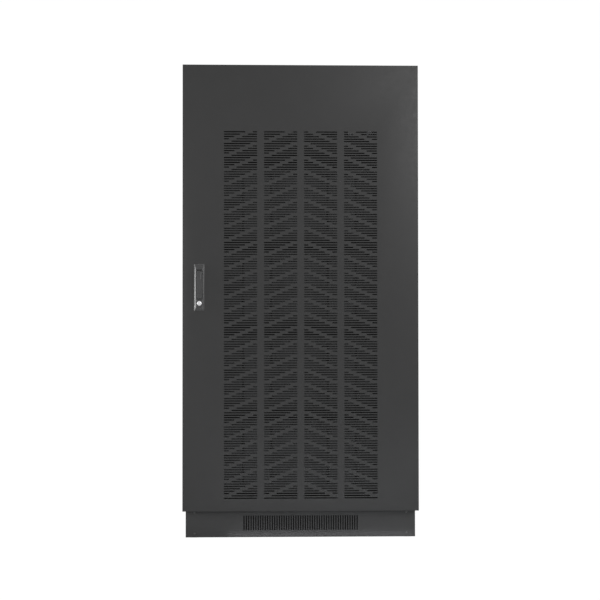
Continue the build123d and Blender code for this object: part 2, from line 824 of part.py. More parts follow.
def hinge_lugs():
    """Bevelled lugs welded to the front post, each with an upright pin."""
    x, y = hinge_point()
    made = []
    for height in hinge_heights():
        low, high = lug_span(height)
        half = LUG_WIDTH / 2
        nose = half * math.tan(math.pi / 8)
        points = [
            (x - half, FRAME_Y),
            (x + half, FRAME_Y),
            (x + half, y - nose),
            (x + nose, y - half),
            (x - nose, y - half),
            (x - half, y - nose),
        ]
        lug = section_z(points, (low, high))
        made.append(lug + rod_z(x, y, HINGE_PIN_RADIUS, (high, high + EYE_HEIGHT)))
    return made


def hinge_eyes():
    """Bored blocks in the door's edge, each riding on a lug."""
    x, y = hinge_point()
    made = []
    for height in hinge_heights():
        z = (height + SEAT_GAP, height + EYE_HEIGHT)
        edge = HALF - SHEET
        eye = block((edge - EYE_WIDTH, edge), (SKIN_BACK_Y, DOOR_BACK_Y - SHEET), z)
        made.append(eye - rod_z(x, y, HINGE_PIN_RADIUS + HINGE_FIT, z))
    return made


# Swing handle and lock

def bezel_end(start, end):
    """What is cut off over one end of the bezel, so that it slopes down from start to end."""
    low_y = FACE_Y - BEZEL_END_RISE
    clear_y = BEZEL_Y - BEZEL_RISE
    points = [(BEZEL_Y, start), (low_y, end), (clear_y, end), (clear_y, start)]
    return section_x(points, around(HANDLE_X, 2 * BEZEL_WIDTH))


def handle_housing():
    """A bevelled bezel, low at both ends, with a lever channel, a finger dish and two bores."""
    foot = Pos(HANDLE_X, FACE_Y, HANDLE_HEIGHT) * Rot(90, 0, 0) * Rectangle(BEZEL_WIDTH, BEZEL_LENGTH)
    slope = math.degrees(math.atan2(BEZEL_BEVEL, BEZEL_RISE))
    made = extrude(foot, BEZEL_RISE, dir=(0, -1, 0), taper=slope)
    head = SPINDLE_Z + SPINDLE_RADIUS + CHANNEL_WIDTH / 4 + BEZEL_END_MARGIN
    made -= bezel_end(head, HANDLE_HEIGHT + BEZEL_LENGTH / 2)
    tail = LOCK_Z - LOCK_BOSS / 2
    made -= bezel_end(tail, HANDLE_HEIGHT - BEZEL_LENGTH / 2)
    dish_back = FACE_Y + DISH_DEPTH
    dish_x = around(HANDLE_X, DISH_WIDTH)
    made += block(dish_x, (FACE_Y, dish_back), around(HANDLE_HEIGHT, DISH_LENGTH))
    channel_x = around(HANDLE_X, CHANNEL_WIDTH)
    channel_top = SPINDLE_Z + SPINDLE_RADIUS + CHANNEL_WIDTH / 4
    channel_foot = SPINDLE_Z - LEVER_LENGTH
    floor_y = BEZEL_Y + CHANNEL_DEPTH
    made -= block(channel_x, (BEZEL_Y, floor_y), (channel_foot, channel_top))
    finger_z = (channel_foot, channel_foot + FINGER_LENGTH)
    made -= block(channel_x, (floor_y, dish_back - FINGER_FLOOR), finger_z)
    boss_y = (BEZEL_Y - LOCK_PROUD / 2, BEZEL_Y)
    made += block(channel_x, boss_y, around(LOCK_Z, LOCK_BOSS))
    made -= rod_y(HANDLE_X, LOCK_Z, LOCK_RADIUS + SHAFT_FIT, (boss_y[0], dish_back))
    made -= rod_y(HANDLE_X, SPINDLE_Z, SPINDLE_RADIUS + SHAFT_FIT, (floor_y, dish_back))
    return made


def lever_axis():
    return (LEVER_FRONT_Y + LEVER_BACK_Y) / 2, SPINDLE_Z


def crank_plane():
    low = FRAME_Y + CAM_BEHIND_FRAME_FACE
    return low, low + CAM_THICKNESS


def handle_spindle():
    """Ear and pin for the lever, round shaft, square drive for the cam."""
    dish_back = FACE_Y + DISH_DEPTH
    made = rod_y(HANDLE_X, SPINDLE_Z, SPINDLE_RADIUS, (BEZEL_Y, dish_back))
    half = around(0, SPINDLE_SQUARE)
    square_x = (HANDLE_X + half[0], HANDLE_X + half[1])
    square_z = (SPINDLE_Z + half[0], SPINDLE_Z + half[1])
    made += block(square_x, (dish_back, crank_plane()[1]), square_z)
    pin_y, pin_z = lever_axis()
    ear_front = pin_y - 2 * LEVER_PIN_RADIUS
    made += block(around(HANDLE_X, SPINDLE_SQUARE), (ear_front, BEZEL_Y), square_z)
    pin_x = around(HANDLE_X, LEVER_WIDTH - 1)
    return made + rod_x(pin_y, pin_z, LEVER_PIN_RADIUS, pin_x)


def handle_lever():
    """Round at the pin, thinner towards the tip, slotted for the spindle's ear."""
    y, z = lever_axis()
    radius = (LEVER_BACK_Y - LEVER_FRONT_Y) / 2
    tip = z - LEVER_LENGTH
    points = [
        (LEVER_FRONT_Y, z),
        (LEVER_BACK_Y, z),
        (LEVER_BACK_Y, tip + LEVER_TIP_THICKNESS),
        (LEVER_FRONT_Y + LEVER_TIP_THICKNESS, tip),
        (LEVER_FRONT_Y + 2, tip),
        (LEVER_FRONT_Y, tip + 6),
    ]
    x = around(HANDLE_X, LEVER_WIDTH)
    made = section_x(points, x) + rod_x(y, z, radius, x)
    slot_x = around(HANDLE_X, SPINDLE_SQUARE + 2 * SEAT_GAP)
    made -= block(slot_x, (LEVER_FRONT_Y, LEVER_BACK_Y), (z - radius - 4, z + radius))
    return made - rod_x(y, z, LEVER_PIN_RADIUS + SHAFT_FIT, x)


def lock_cylinder():
    """The plug, with its keyway upright."""
    y = (BEZEL_Y - LOCK_PROUD, FACE_Y + DISH_DEPTH - 1)
    plug = rod_y(HANDLE_X, LOCK_Z, LOCK_RADIUS, y)
    key_z = around(LOCK_Z, LOCK_RADIUS)
    return plug - block(around(HANDLE_X, KEYWAY), (y[0], y[0] + LOCK_RADIUS), key_z)


def crank_offset():
    """Both crank pins start and end 45 degrees from the level."""
    return CRANK_RADIUS / math.sqrt(2)


def lock_cam():
    """A plate with a tongue to the left and one crank pin for each rod."""
    y = crank_plane()
    square = SPINDLE_SQUARE + 2 * SHAFT_FIT
    reach = HANDLE_X - TONGUE_REACH
    tongue_end = HANDLE_X + TONGUE_WIDTH / 2
    made = block((reach, tongue_end), y, around(SPINDLE_Z, TONGUE_WIDTH))
    arm = 2 * (CRANK_RADIUS + CRANK_LOBE)
    face = Plane.XZ * Pos(HANDLE_X, SPINDLE_Z) * Rot(0, 0, -45) * Rectangle(arm, 2 * CRANK_LOBE)
    made += Pos(0, y[0], 0) * extrude(face, y[1] - y[0], dir=(0, 1, 0))
    off = crank_offset()
    for side in (-1, 1):
        x = HANDLE_X + side * off
        z = SPINDLE_Z - side * off
        made += rod_y(x, z, CRANK_PIN_RADIUS, (y[1], rod_plane()[1]))
    return made - block(around(HANDLE_X, square), y, around(SPINDLE_Z, square))


def rod_plane():
    front = crank_plane()[1] + SEAT_GAP
    return front, front + ROD_THICKNESS


def rod_centre(side):
    """Rods stand midway between where their crank pin starts and where it swings widest."""
    return HANDLE_X + side * (CRANK_RADIUS + crank_offset()) / 2


def rod_ends():
    """Rod tips behind the keepers, at the top and at the foot."""
    tip_top = TOP_Z - TUBE - KEEPER_LENGTH + ROD_OVERLAP
    tip_foot = FLOOR_Z + KEEPER_LENGTH - ROD_OVERLAP
    return tip_top, tip_foot


def lock_rod(side):
    """side -1 is the upper rod on the left pin, side 1 the lower rod on the right pin."""
    x = rod_centre(side)
    pin_z = SPINDLE_Z - side * crank_offset()
    near = pin_z + side * ROD_WIDTH / 2
    far = rod_ends()[0] if side < 0 else rod_ends()[1]
    y = rod_plane()
    rod = block(around(x, ROD_WIDTH), y, (min(near, far), max(near, far)))
    swing = (CRANK_RADIUS - crank_offset()) / 2
    slot_x = around(x, 2 * (CRANK_PIN_RADIUS + swing + ROD_SIDE_PLAY))
    slot_z = around(pin_z, 2 * (CRANK_PIN_RADIUS + ROD_END_PLAY))
    return rod - block(slot_x, y, slot_z)


def rod_guides():
    """Moulded loops on legs that stand on the skin."""
    y = rod_plane()
    loop_y = (y[0] - GUIDE_PLAY - GUIDE_WALL, y[1] + GUIDE_PLAY + GUIDE_WALL)
    made = []
    tip_top, tip_foot = rod_ends()
    places = [
        (-1, SPINDLE_Z + GUIDE_FROM_SPINDLE),
        (-1, tip_top - GUIDE_FROM_TIP),
        (1, SPINDLE_Z - GUIDE_FROM_SPINDLE),
        (1, tip_foot + GUIDE_FROM_TIP),
    ]
    for side, height in places:
        x = rod_centre(side)
        z = around(height, GUIDE_HEIGHT)
        opening = around(x, ROD_WIDTH + 2 * GUIDE_PLAY)
        loop = block((opening[0] - GUIDE_WALL, opening[1] + GUIDE_WALL), loop_y, z)
        loop -= block(opening, (y[0] - GUIDE_PLAY, y[1] + GUIDE_PLAY), z)
        leg = block(around(x, GUIDE_HEIGHT), (SKIN_BACK_Y, loop_y[0]), z)
        made.append(loop + leg)
    return made


def keepers():
    """Tabs in front of both rod tips and in front of the tongue."""
    rod_front = rod_plane()[0]
    tab = (rod_front - 2 * SEAT_GAP - KEEPER_PLATE, rod_front - 2 * SEAT_GAP)
    foot = (tab[0], tab[0] + KEEPER_FOOT)
    under = TOP_Z - TUBE
    upper_x = around(rod_centre(-1), KEEPER_WIDTH / 2)
    upper = block(upper_x, tab, (under - KEEPER_LENGTH, under))
    upper += block(upper_x, foot, (under - KEEPER_PLATE, under))
    lower_x = around(rod_centre(1), KEEPER_WIDTH)
    lower = block(lower_x, tab, (FLOOR_Z, FLOOR_Z + KEEPER_LENGTH))
    lower += block(lower_x, foot, (FLOOR_Z, FLOOR_Z + KEEPER_PLATE))
    cam_front = crank_plane()[0] - SEAT_GAP
    plate = (cam_front - KEEPER_PLATE, cam_front)
    points = [
        (-INNER_X, plate[0]),
        (KEEPER_REACH - INNER_X, plate[0]),
        (KEEPER_REACH - INNER_X, plate[1]),
        (KEEPER_PLATE - INNER_X, plate[1]),
        (KEEPER_PLATE - INNER_X, FRONT_INNER_Y),
        (-INNER_X, FRONT_INNER_Y),
    ]
    side = section_z(points, around(SPINDLE_Z, 2 * TONGUE_WIDTH))
    return [upper, lower, side]


# Feet

def foot_places():
    x = PLINTH_X - FOOT_INSET
    return [(s * x, y) for s in (-1, 1) for y in (FRAME_Y + FOOT_INSET, REAR_Y - FOOT_INSET)]


def levelling_foot(x, y):
    """Six-sided base, stem, and a locking nut up against the plinth tube."""
    nut = PLINTH_TUBE_Z - FOOT_NUT_HEIGHT
    base = RegularPolygon(FOOT_PAD_RADIUS, 6)
    hexagon = RegularPolygon(FOOT_NUT_ACROSS / 2, 6)
    foot = extrude(base, FOOT_PAD_HEIGHT)
    foot += rod_z(0, 0, FOOT_STEM_RADIUS, (FOOT_PAD_HEIGHT, nut))
    foot += Pos(0, 0, nut) * extrude(hexagon, FOOT_NUT_HEIGHT)
    return Pos(x, y, 0) * foot


def equipment_shelf():
    y = (TRAY_Y, BLOCK_BACK_Y + 2 * TRAY_SHEET)
    return block((-TRAY_X, TRAY_X), y, (EQUIPMENT_Z, EQUIPMENT_Z + TRAY_SHEET))


save("frame_posts", posts())
save("base_rails", tube_ring((BASE_Z, FLOOR_Z)))
save("top_rails", tube_ring((TOP_Z - TUBE, TOP_Z)))
save("plinth_rails", plinth_rails())
save("corner_legs", corner_legs())
save("tray_rails", tray_rails())
save("floor_panel", [floor_panel()])
save("top_panel", [top_panel()])
save("gland_plate", [gland_plate()])
save("rear_panel", [rear_panel()])
save("side_panel_left", [side_panel()])
save("side_panel_right", [mirror(side_panel(), Plane.YZ)])
save("plinth_front", [plinth_front()])
save("plinth_rear", [plinth_rear()])
save("plinth_sides", plinth_sides())
save("plinth_screws", plinth_screws())
lids = []
terminals = []
links = []
for number, height in enumerate(tray_heights(), start=1):
    save(f"battery_tray_{number}", [tray(height)])
    save(f"battery_cases_{number}", battery_cases(height))
    lids += battery_lids(height)
    terminals += battery_terminals(height)
    links += battery_links(height)
save("battery_lids", lids)
save("battery_terminals", terminals)
save("battery_links", links)
save("retaining_bars", [retaining_bar(z) for z in tray_heights()])
save("battery_straps", battery_straps())
save("equipment_shelf", [equipment_shelf()])
save("equipment_plate", [equipment_plate()])
save("breaker_body", [breaker_body()])
save("breaker_toggle", [breaker_toggle()])
save("output_terminals", [output_terminals()])
save("earth_bar", [earth_bar()])
save("door_skin", [door_skin()])
save("door_frame", [door_frame()])
save("door_stiffeners", door_stiffeners())
save("door_gasket", [door_gasket()])
save("hinge_lugs", hinge_lugs())
save("hinge_eyes", hinge_eyes())
save("handle_housing", [handle_housing()])
save("handle_spindle", [handle_spindle()])
save("handle_lever", [handle_lever()])
save("lock_cylinder", [lock_cylinder()])
save("lock_cam", [lock_cam()])
save("lock_rod_upper", [lock_rod(-1)])
save("lock_rod_lower", [lock_rod(1)])
save("rod_guides", rod_guides())
save("keepers", keepers())
save("levelling_feet", [levelling_foot(x, y) for x, y in foot_places()])
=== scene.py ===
import json
import math

import bmesh
import bpy
from mathutils import Euler, Matrix, Vector
from mathutils.geometry import delaunay_2d_cdt


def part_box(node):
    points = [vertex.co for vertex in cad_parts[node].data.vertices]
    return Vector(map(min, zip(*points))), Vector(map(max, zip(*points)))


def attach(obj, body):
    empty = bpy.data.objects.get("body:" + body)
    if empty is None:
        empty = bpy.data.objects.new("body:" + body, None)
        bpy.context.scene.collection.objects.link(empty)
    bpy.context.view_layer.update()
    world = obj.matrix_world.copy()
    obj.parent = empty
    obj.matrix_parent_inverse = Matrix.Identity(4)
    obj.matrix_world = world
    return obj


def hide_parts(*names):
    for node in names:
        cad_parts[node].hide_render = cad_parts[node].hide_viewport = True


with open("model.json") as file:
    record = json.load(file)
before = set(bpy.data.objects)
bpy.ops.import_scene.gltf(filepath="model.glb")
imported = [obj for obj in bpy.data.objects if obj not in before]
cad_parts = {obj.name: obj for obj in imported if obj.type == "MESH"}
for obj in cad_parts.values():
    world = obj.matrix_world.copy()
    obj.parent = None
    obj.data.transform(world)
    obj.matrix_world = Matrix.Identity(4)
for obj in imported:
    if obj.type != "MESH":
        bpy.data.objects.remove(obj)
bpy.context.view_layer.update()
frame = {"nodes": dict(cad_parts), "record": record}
NODES = frame["nodes"]
MM = 0.001


# ---------------------------------------------------------------- materials

# Places of the two colour inputs and of the colour output on a mix node.
COLOR_INPUTS = (6, 7)
COLOR_OUTPUT = 2


class Mat:
    """A node material built on one Principled shader."""

    def __init__(self, name, color, rough, metal=0.0, spec=0.5):
        self.mat = bpy.data.materials.new(name)
        self.mat.use_nodes = True
        self.tree = self.mat.node_tree
        self.bsdf = self.tree.nodes["Principled BSDF"]
        self.color = (*color, 1.0)
        self.bsdf.inputs["Base Color"].default_value = self.color
        self.bsdf.inputs["Roughness"].default_value = rough
        self.bsdf.inputs["Metallic"].default_value = metal
        self.bsdf.inputs["Specular IOR Level"].default_value = spec
        coords = self.tree.nodes.new("ShaderNodeTexCoord")
        self.space = coords.outputs["Object"]
        self.height = None

    def node(self, kind, **values):
        """A new node with its inputs or settings given by name."""
        made = self.tree.nodes.new(kind)
        for key, value in values.items():
            if key in made.inputs:
                made.inputs[key].default_value = value
            else:
                setattr(made, key, value)
        return made

    def link(self, out, into):
        self.tree.links.new(out, into)

    def scaled(self, scale):
        """The object's own coordinates, stretched along each axis."""
        mapping = self.node("ShaderNodeMapping")
        mapping.inputs["Scale"].default_value = scale
        self.link(self.space, mapping.inputs["Vector"])
        return mapping.outputs["Vector"]

    def noise(self, scale, detail=2.0, stretch=(1, 1, 1)):
        made = self.node("ShaderNodeTexNoise", Scale=scale, Detail=detail)
        self.link(self.scaled(stretch), made.inputs["Vector"])
        return made.outputs["Fac"]

    def ramp(self, value, low, high, out_low, out_high):
        made = self.node("ShaderNodeMapRange")
        made.inputs["From Min"].default_value = low
        made.inputs["From Max"].default_value = high
        made.inputs["To Min"].default_value = out_low
        made.inputs["To Max"].default_value = out_high
        self.link(value, made.inputs["Value"])
        return made.outputs["Result"]

    def tint(self, value, low, high):
        """Colour between two shades of the base, by a 0 to 1 value."""
        made = self.node("ShaderNodeMix", data_type="RGBA")
        shades = zip(COLOR_INPUTS, (low, high))
        for socket, share in shades:
            shade = [part * share for part in self.color[:3]]
            made.inputs[socket].default_value = (*shade, 1.0)
        self.link(value, made.inputs["Factor"])
        self.link(made.outputs[COLOR_OUTPUT], self.bsdf.inputs["Base Color"])

    def rough(self, value, low, high):
        """Roughness between two values, by a 0 to 1 value."""
        self.link(self.ramp(value, 0.3, 0.7, low, high), self.bsdf.inputs["Roughness"])

    def bump(self, value, depth, strength):
        """Adds one more layer of relief, of a depth in metres."""
        made = self.node("ShaderNodeBump", Strength=strength, Distance=depth)
        self.link(value, made.inputs["Height"])
        if self.height is not None:
            self.link(self.height, made.inputs["Normal"])
        self.height = made.outputs["Normal"]
        self.link(self.height, self.bsdf.inputs["Normal"])


def powder(name, color, rough, spec=0.32):
    """Powder coat: fine orange peel, faint broad unevenness, tiny matte specks."""
    m = Mat(name, color, rough, spec=spec)
    m.bump(m.noise(900.0, 2.0), 0.00006, 0.55)
    m.bump(m.noise(260.0, 1.0), 0.00010, 0.30)
    m.tint(m.noise(14.0, 4.0), 0.93, 1.07)
    m.rough(m.noise(60.0, 3.0), rough - 0.04, rough + 0.05)
    return m.mat


def zinc(name):
    """Bright zinc plating with a faint spangle."""
    m = Mat(name, (0.52, 0.52, 0.53), 0.38, metal=1.0)
    m.tint(m.noise(55.0, 5.0), 0.80, 1.06)
    m.rough(m.noise(110.0, 3.0), 0.28, 0.48)
    m.bump(m.noise(420.0, 2.0, (1, 1, 0.2)), 0.00004, 0.5)
    return m.mat


def plastic(name, color, rough, grain=700.0, spec=0.40):
    """Moulded plastic or rubber with a fine grain."""
    m = Mat(name, color, rough, spec=spec)
    m.bump(m.noise(grain, 3.0), 0.00010, 0.5)
    m.tint(m.noise(20.0, 3.0), 0.92, 1.06)
    m.rough(m.noise(45.0, 2.0), rough - 0.05, rough + 0.06)
    return m.mat


def metal(name, color, rough, stretch=(1, 1, 1)):
    """Bare or plated metal with a fine grain, drawn out along an axis where it is stretched."""
    m = Mat(name, color, rough, metal=1.0)
    m.tint(m.noise(40.0, 4.0), 0.86, 1.05)
    m.rough(m.noise(90.0, 3.0), rough * 0.75, rough * 1.3)
    m.bump(m.noise(500.0, 2.0, stretch), 0.00003, 0.5)
    return m.mat


POWDER = powder("powder_black", (0.020, 0.020, 0.0201), 0.44, 0.27)
CAST = powder("handle_cast", (0.024, 0.024, 0.0245), 0.30, 0.5)
ZINC = zinc("zinc_steel")
CASE = plastic("battery_case", (0.026, 0.027, 0.029), 0.50)
LID = plastic("battery_lid", (0.050, 0.051, 0.054), 0.46)
LEAD = metal("lead_terminal", (0.42, 0.43, 0.45), 0.46)
COPPER = metal("copper_bar", (0.72, 0.36, 0.22), 0.32, (0.15, 1, 1))
SLEEVE = plastic("strap_sleeve", (0.014, 0.014, 0.014), 0.42, 400.0)
BREAKER = plastic("breaker_case", (0.050, 0.052, 0.056), 0.48, 900.0)
TOGGLE = plastic("toggle_plastic", (0.012, 0.012, 0.012), 0.30, 600.0)
SEAL = plastic("seal_rubber", (0.008, 0.008, 0.008), 0.80, 300.0, 0.12)
CHROME = metal("lock_chrome", (0.66, 0.66, 0.67), 0.24)
NYLON = plastic("guide_nylon", (0.020, 0.020, 0.020), 0.45)

MATS = {
    "powder_black": POWDER,
    "zinc_steel": ZINC,
    "battery_case": CASE,
    "battery_lid": LID,
    "lead_terminal": LEAD,
    "copper_bar": COPPER,
    "strap_sleeve": SLEEVE,
    "breaker_case": BREAKER,
    "toggle_plastic": TOGGLE,
    "seal_rubber": SEAL,
    "handle_cast": CAST,
    "lock_chrome": CHROME,
    "guide_nylon": NYLON,
}
SLOT_OF = {part["node"]: part["material_slot"] for part in frame["record"]["subparts"]}
BODIES = frame["record"]["behaviour"]["bodies"]
BODY_OF = {node: body for body, nodes in BODIES.items() for node in nodes}
for node, slot in SLOT_OF.items():
    NODES[node].data.materials.clear()
    NODES[node].data.materials.append(MATS[slot])

# Pieces that keep the form of their node and only get rounded edges, by radius in mm.
ROUNDING = [
    (0.5, ["side_panel_left", "side_panel_right", "plinth_rear", "plinth_sides", "floor_panel",
           "gland_plate", "door_frame", "door_stiffeners", "equipment_plate", "equipment_shelf",
           "battery_tray_1", "battery_tray_2", "battery_tray_3", "battery_tray_4",
           "retaining_bars", "keepers", "battery_straps"]),
    (0.7, ["frame_posts", "base_rails", "top_rails", "plinth_rails", "corner_legs", "tray_rails"]),
    (0.8, ["lock_cam", "lock_rod_upper", "lock_rod_lower", "rod_guides", "earth_bar",
           "battery_links", "hinge_lugs", "hinge_eyes"]),
    (1.5, ["breaker_toggle", "output_terminals", "battery_terminals", "door_gasket",
           "levelling_feet"]),
    (2.2, ["breaker_body"]),
]


# ---------------------------------------------------------------- mesh helpers

SHARP_TURN = math.radians(25.0)


def to_object(name, bm, slot, body, angle=30.0):
    """A piece that rides on a body. Edges that turn by more than the angle stay sharp."""
    mesh = bpy.data.meshes.new(name)
    bmesh.ops.recalc_face_normals(bm, faces=bm.faces)
    bm.to_mesh(mesh)
    bm.free()
    obj = bpy.data.objects.new(name, mesh)
    bpy.context.scene.collection.objects.link(obj)
    mesh.materials.append(MATS[slot])
    mesh.shade_smooth()
    mesh.set_sharp_from_angle(angle=math.radians(angle))
    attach(obj, body)
    return obj


def stand_for(name, bm, node, slot=None, angle=30.0):
    """A new piece in a node's place, on its body and with its finish."""
    obj = to_object(name, bm, slot or SLOT_OF[node], BODY_OF[node], angle)
    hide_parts(node)
    return obj


def part_solids(bm):
    """Gives solids that touch along an edge vertices of their own."""
    if all(len(edge.link_faces) <= 2 for edge in bm.edges):
        return
    left = dict.fromkeys(bm.faces)
    while left:
        open_ended = [left.popitem()[0]]
        solid = []
        while open_ended:
            face = open_ended.pop()
            solid.append(face)
            for edge in face.edges:
                for beside in edge.link_faces if len(edge.link_faces) == 2 else []:
                    if beside in left:
                        del left[beside]
                        open_ended.append(beside)
        bmesh.ops.split(bm, geom=solid)


def tidy_faces(bm):
    """Joins vertices that fall together, and flat faces that lie side by side."""
    bmesh.ops.remove_doubles(bm, verts=bm.verts, dist=1e-6)
    part_solids(bm)
    bmesh.ops.dissolve_limit(bm, angle_limit=math.radians(1.0), verts=bm.verts, edges=bm.edges)
    bmesh.ops.recalc_face_normals(bm, faces=bm.faces)


def round_edges(bm, width, segments):
    """Rounds the edges that turn by more than SHARP_TURN."""
    sharp = []
    for edge in bm.edges:
        if len(edge.link_faces) == 2 and edge.calc_face_angle() > SHARP_TURN:
            sharp.append(edge)
    bmesh.ops.bevel(bm, geom=sharp, offset=width, segments=segments, profile=0.5,
                    clamp_overlap=True, affect="EDGES")
    bmesh.ops.dissolve_degenerate(bm, dist=2e-6, edges=bm.edges)


def softened(node, width, segments=2):
    """The node's own form with its sharp edges rounded."""
    bm = bmesh.new()
    bm.from_mesh(NODES[node].data)
    tidy_faces(bm)
    round_edges(bm, width * MM, segments)
    return stand_for(node + "_rounded", bm, node)


def add_box(bm, low, high, bevel=0.0, segments=2):
    """A box with rounded edges, from its lowest to its highest corner."""
    size = [high[i] - low[i] for i in range(3)]
    middle = [(high[i] + low[i]) / 2 for i in range(3)]
    matrix = Matrix.Translation(middle) @ Matrix.Diagonal((*size, 1.0))
    made = bmesh.ops.create_cube(bm, size=1.0, matrix=matrix)
    if bevel > 0:
        edges = list(dict.fromkeys(e for v in made["verts"] for e in v.link_edges))
        bmesh.ops.bevel(bm, geom=edges, offset=bevel, segments=segments, profile=0.5,
                        affect="EDGES")


def loft(bm, sections):
    """Skins outlines of equal length and closes both ends. Points that meet are shared."""
    found = {}

    def vert(point):
        key = tuple(round(v, 7) for v in point)
        if key not in found:
            found[key] = bm.verts.new(point)
        return found[key]

    grid = [[vert(p) for p in section] for section in sections]
    for a, b in zip(grid, grid[1:]):
        for n in range(len(a)):
            m = (n + 1) % len(a)
            corners = list(dict.fromkeys([a[n], b[n], b[m], a[m]]))
            if len(corners) > 2:
                bm.faces.new(corners)
    for end in (grid[0], grid[-1]):
        corners = list(dict.fromkeys(end))
        if len(corners) > 2:
            bm.faces.new(corners)


def lathe(bm, place, axis, rings, segments=24):
    """Rings of radius, height and number of flats (0 for round) about an axis through a place."""
    turn = Vector(axis).to_track_quat("Z", "Y").to_matrix()
    sections = []
    for radius, height, sides in rings:
        section = []
        for n in range(segments):
            a = 2 * math.pi * n / segments
            r = radius
            if sides:
                flat = 2 * math.pi / sides
                r = radius / math.cos((a % flat) - flat / 2)
            point = Vector((r * math.cos(a), r * math.sin(a), height))
            section.append(Vector(place) + turn @ point)
        sections.append(section)
    loft(bm, sections)


def pan_head(bm, place, axis, radius, height):
    """A low domed screw head with a six-sided socket."""
    socket = radius * 0.42
    lathe(bm, place, axis, [
        (radius, 0, 0), (radius, height * 0.30, 0), (radius * 0.90, height * 0.68, 0),
        (radius * 0.68, height * 0.92, 0), (radius * 0.50, height, 0), (socket, height, 6),
        (socket * 0.94, height * 0.45, 6), (socket * 0.3, height * 0.40, 0),
    ])


def flush_head(bm, place, axis, radius):
    """A countersunk head whose face lies at the place, with a six-sided socket."""
    socket = radius * 0.40
    lathe(bm, place, axis, [
        (radius * 0.62, -1.2 * MM, 0), (radius, -0.25 * MM, 0), (radius * 0.97, 0, 0),
        (socket, 0, 6), (socket * 0.92, -0.8 * MM, 6), (socket * 0.3, -0.85 * MM, 0),
    ])


def hex_bolt(bm, place, axis, across, height, washer):
    """A hexagon head on a plain washer."""
    half = across / 2
    lathe(bm, place, axis, [
        (washer, 0, 0), (washer, 0.9 * MM, 0), (washer * 0.96, 1.2 * MM, 0),
        (half * 0.98, 1.2 * MM, 6), (half, 1.5 * MM, 6), (half, height - 0.6 * MM, 6),
        (half * 0.90, height, 0), (half * 0.4, height, 0),
    ])


def cut_sheet(bm, outline, holes, front, back, round_edge=0.0, steps=3, turn=None):
    """A plate in the XZ plane with a convex outline, holes and a rounded front rim."""
    middle = sum((Vector(p) for p in outline), Vector((0, 0))) / len(outline)

    def rim(inset):
        """The outline, drawn in on all sides."""
        moved = []
        for p in outline:
            away = Vector(p) - middle
            pull = Vector((math.copysign(inset, away.x), math.copysign(inset, away.y)))
            moved.append(Vector(p) - pull)
        return moved

    def sheet(y, inset, flip):
        """Flat faces round the holes; gives the vertices of each loop in order."""
        points = []
        loops = []
        for loop in [rim(inset)] + holes:
            loops.append(list(range(len(points), len(points) + len(loop))))
            points += [Vector(p) for p in loop]
        flat, _, tris, sources = delaunay_2d_cdt(points, [], loops, 2, 1e-7)[:4]
        verts = [bm.verts.new((p[0], y, p[1])) for p in flat]
        for tri in tris:
            order = [verts[n] for n in tri]
            bm.faces.new(order[::-1] if flip else order)
        place = {source: verts[n] for n, group in enumerate(sources) for source in group}
        return [[place[n] for n in loop] for loop in loops]

    before = set(bm.verts)
    front_loops = sheet(front, round_edge, False)
    back_loops = sheet(back, 0.0, True)
    for near, far in zip(front_loops[1:], back_loops[1:]):
        for n in range(len(near)):
            m = (n + 1) % len(near)
            bm.faces.new((near[n], near[m], far[m], far[n]))
    rings = [front_loops[0]]
    inward = 1 if back > front else -1
    for k in range(1, steps + 1) if round_edge > 0 else []:
        angle = math.pi / 2 * k / steps
        inset = round_edge * (1 - math.sin(angle))
        y = front + round_edge * (1 - math.cos(angle)) * inward
        rings.append([bm.verts.new((p[0], y, p[1])) for p in rim(inset)])
    rings.append(back_loops[0])
    for a, b in zip(rings, rings[1:]):
        for n in range(len(a)):
            m = (n + 1) % len(a)
            bm.faces.new((a[n], a[m], b[m], b[n]))
    if turn is not None:
        bmesh.ops.transform(bm, matrix=turn, verts=[v for v in bm.verts if v not in before])


def rectangle(x0, z0, x1, z1):
    """Four corners as a loop of points."""
    return [(x0, z0), (x1, z0), (x1, z1), (x0, z1)]


def rounded_rectangle(x0, z0, x1, z1, radius, steps=3):
    """A rectangle with round corners, as a loop of points."""
    loop = []
    corners = ((x1, z0, -90), (x1, z1, 0), (x0, z1, 90), (x0, z0, 180))
    for x, z, start in corners:
        cx = x - radius if x == x1 else x + radius
        cz = z - radius if z == z1 else z + radius
        for n in range(steps + 1):
            a = math.radians(start + 90 * n / steps)
            loop.append((cx + radius * math.cos(a), cz + radius * math.sin(a)))
    return loop


def disc(x, z, radius, segments=28):
    """A circle, as a loop of points."""
    angles = [2 * math.pi * n / segments for n in range(segments)]
    return [(x + radius * math.cos(a), z + radius * math.sin(a)) for a in angles]


def obround(x0, x1, z, height, steps=5):
    """A lying slot with round ends, as a loop of points."""
    r = height / 2
    loop = []
    for centre, start in ((x1 - r, -90), (x0 + r, 90)):
        for n in range(steps + 1):
            a = math.radians(start + 180 * n / steps)
            loop.append((centre + r * math.cos(a), z + r * math.sin(a)))
    return loop


def upright(loop):
    """The loop with its two directions changed over."""
    return [(p[1], p[0]) for p in loop]


# ---------------------------------------------------------------- door skin

COLUMN = 134.5 * MM
COLUMN_PITCH = 161.3 * MM
ROWS = 156
SLOT = 4.4 * MM
FIELD_BELOW_TOP = 266.2 * MM
FIELD_ABOVE_FOOT = 47.8 * MM
HANDLE_CUT_X = 15.3 * MM
HANDLE_CUT_Z = 83.3 * MM
# Open shares of a left column's width in six rows that repeat; the bridge climbs to the right.
CHEVRON = [
    [(0, 0.64), (0.867, 1)],
    [(0, 0.484), (0.719, 1)],
    [(0, 0.32), (0.547, 1)],
    [(0, 0.156), (0.375, 1)],
    [(0.227, 1)],
    [(0, 0.797)],
]


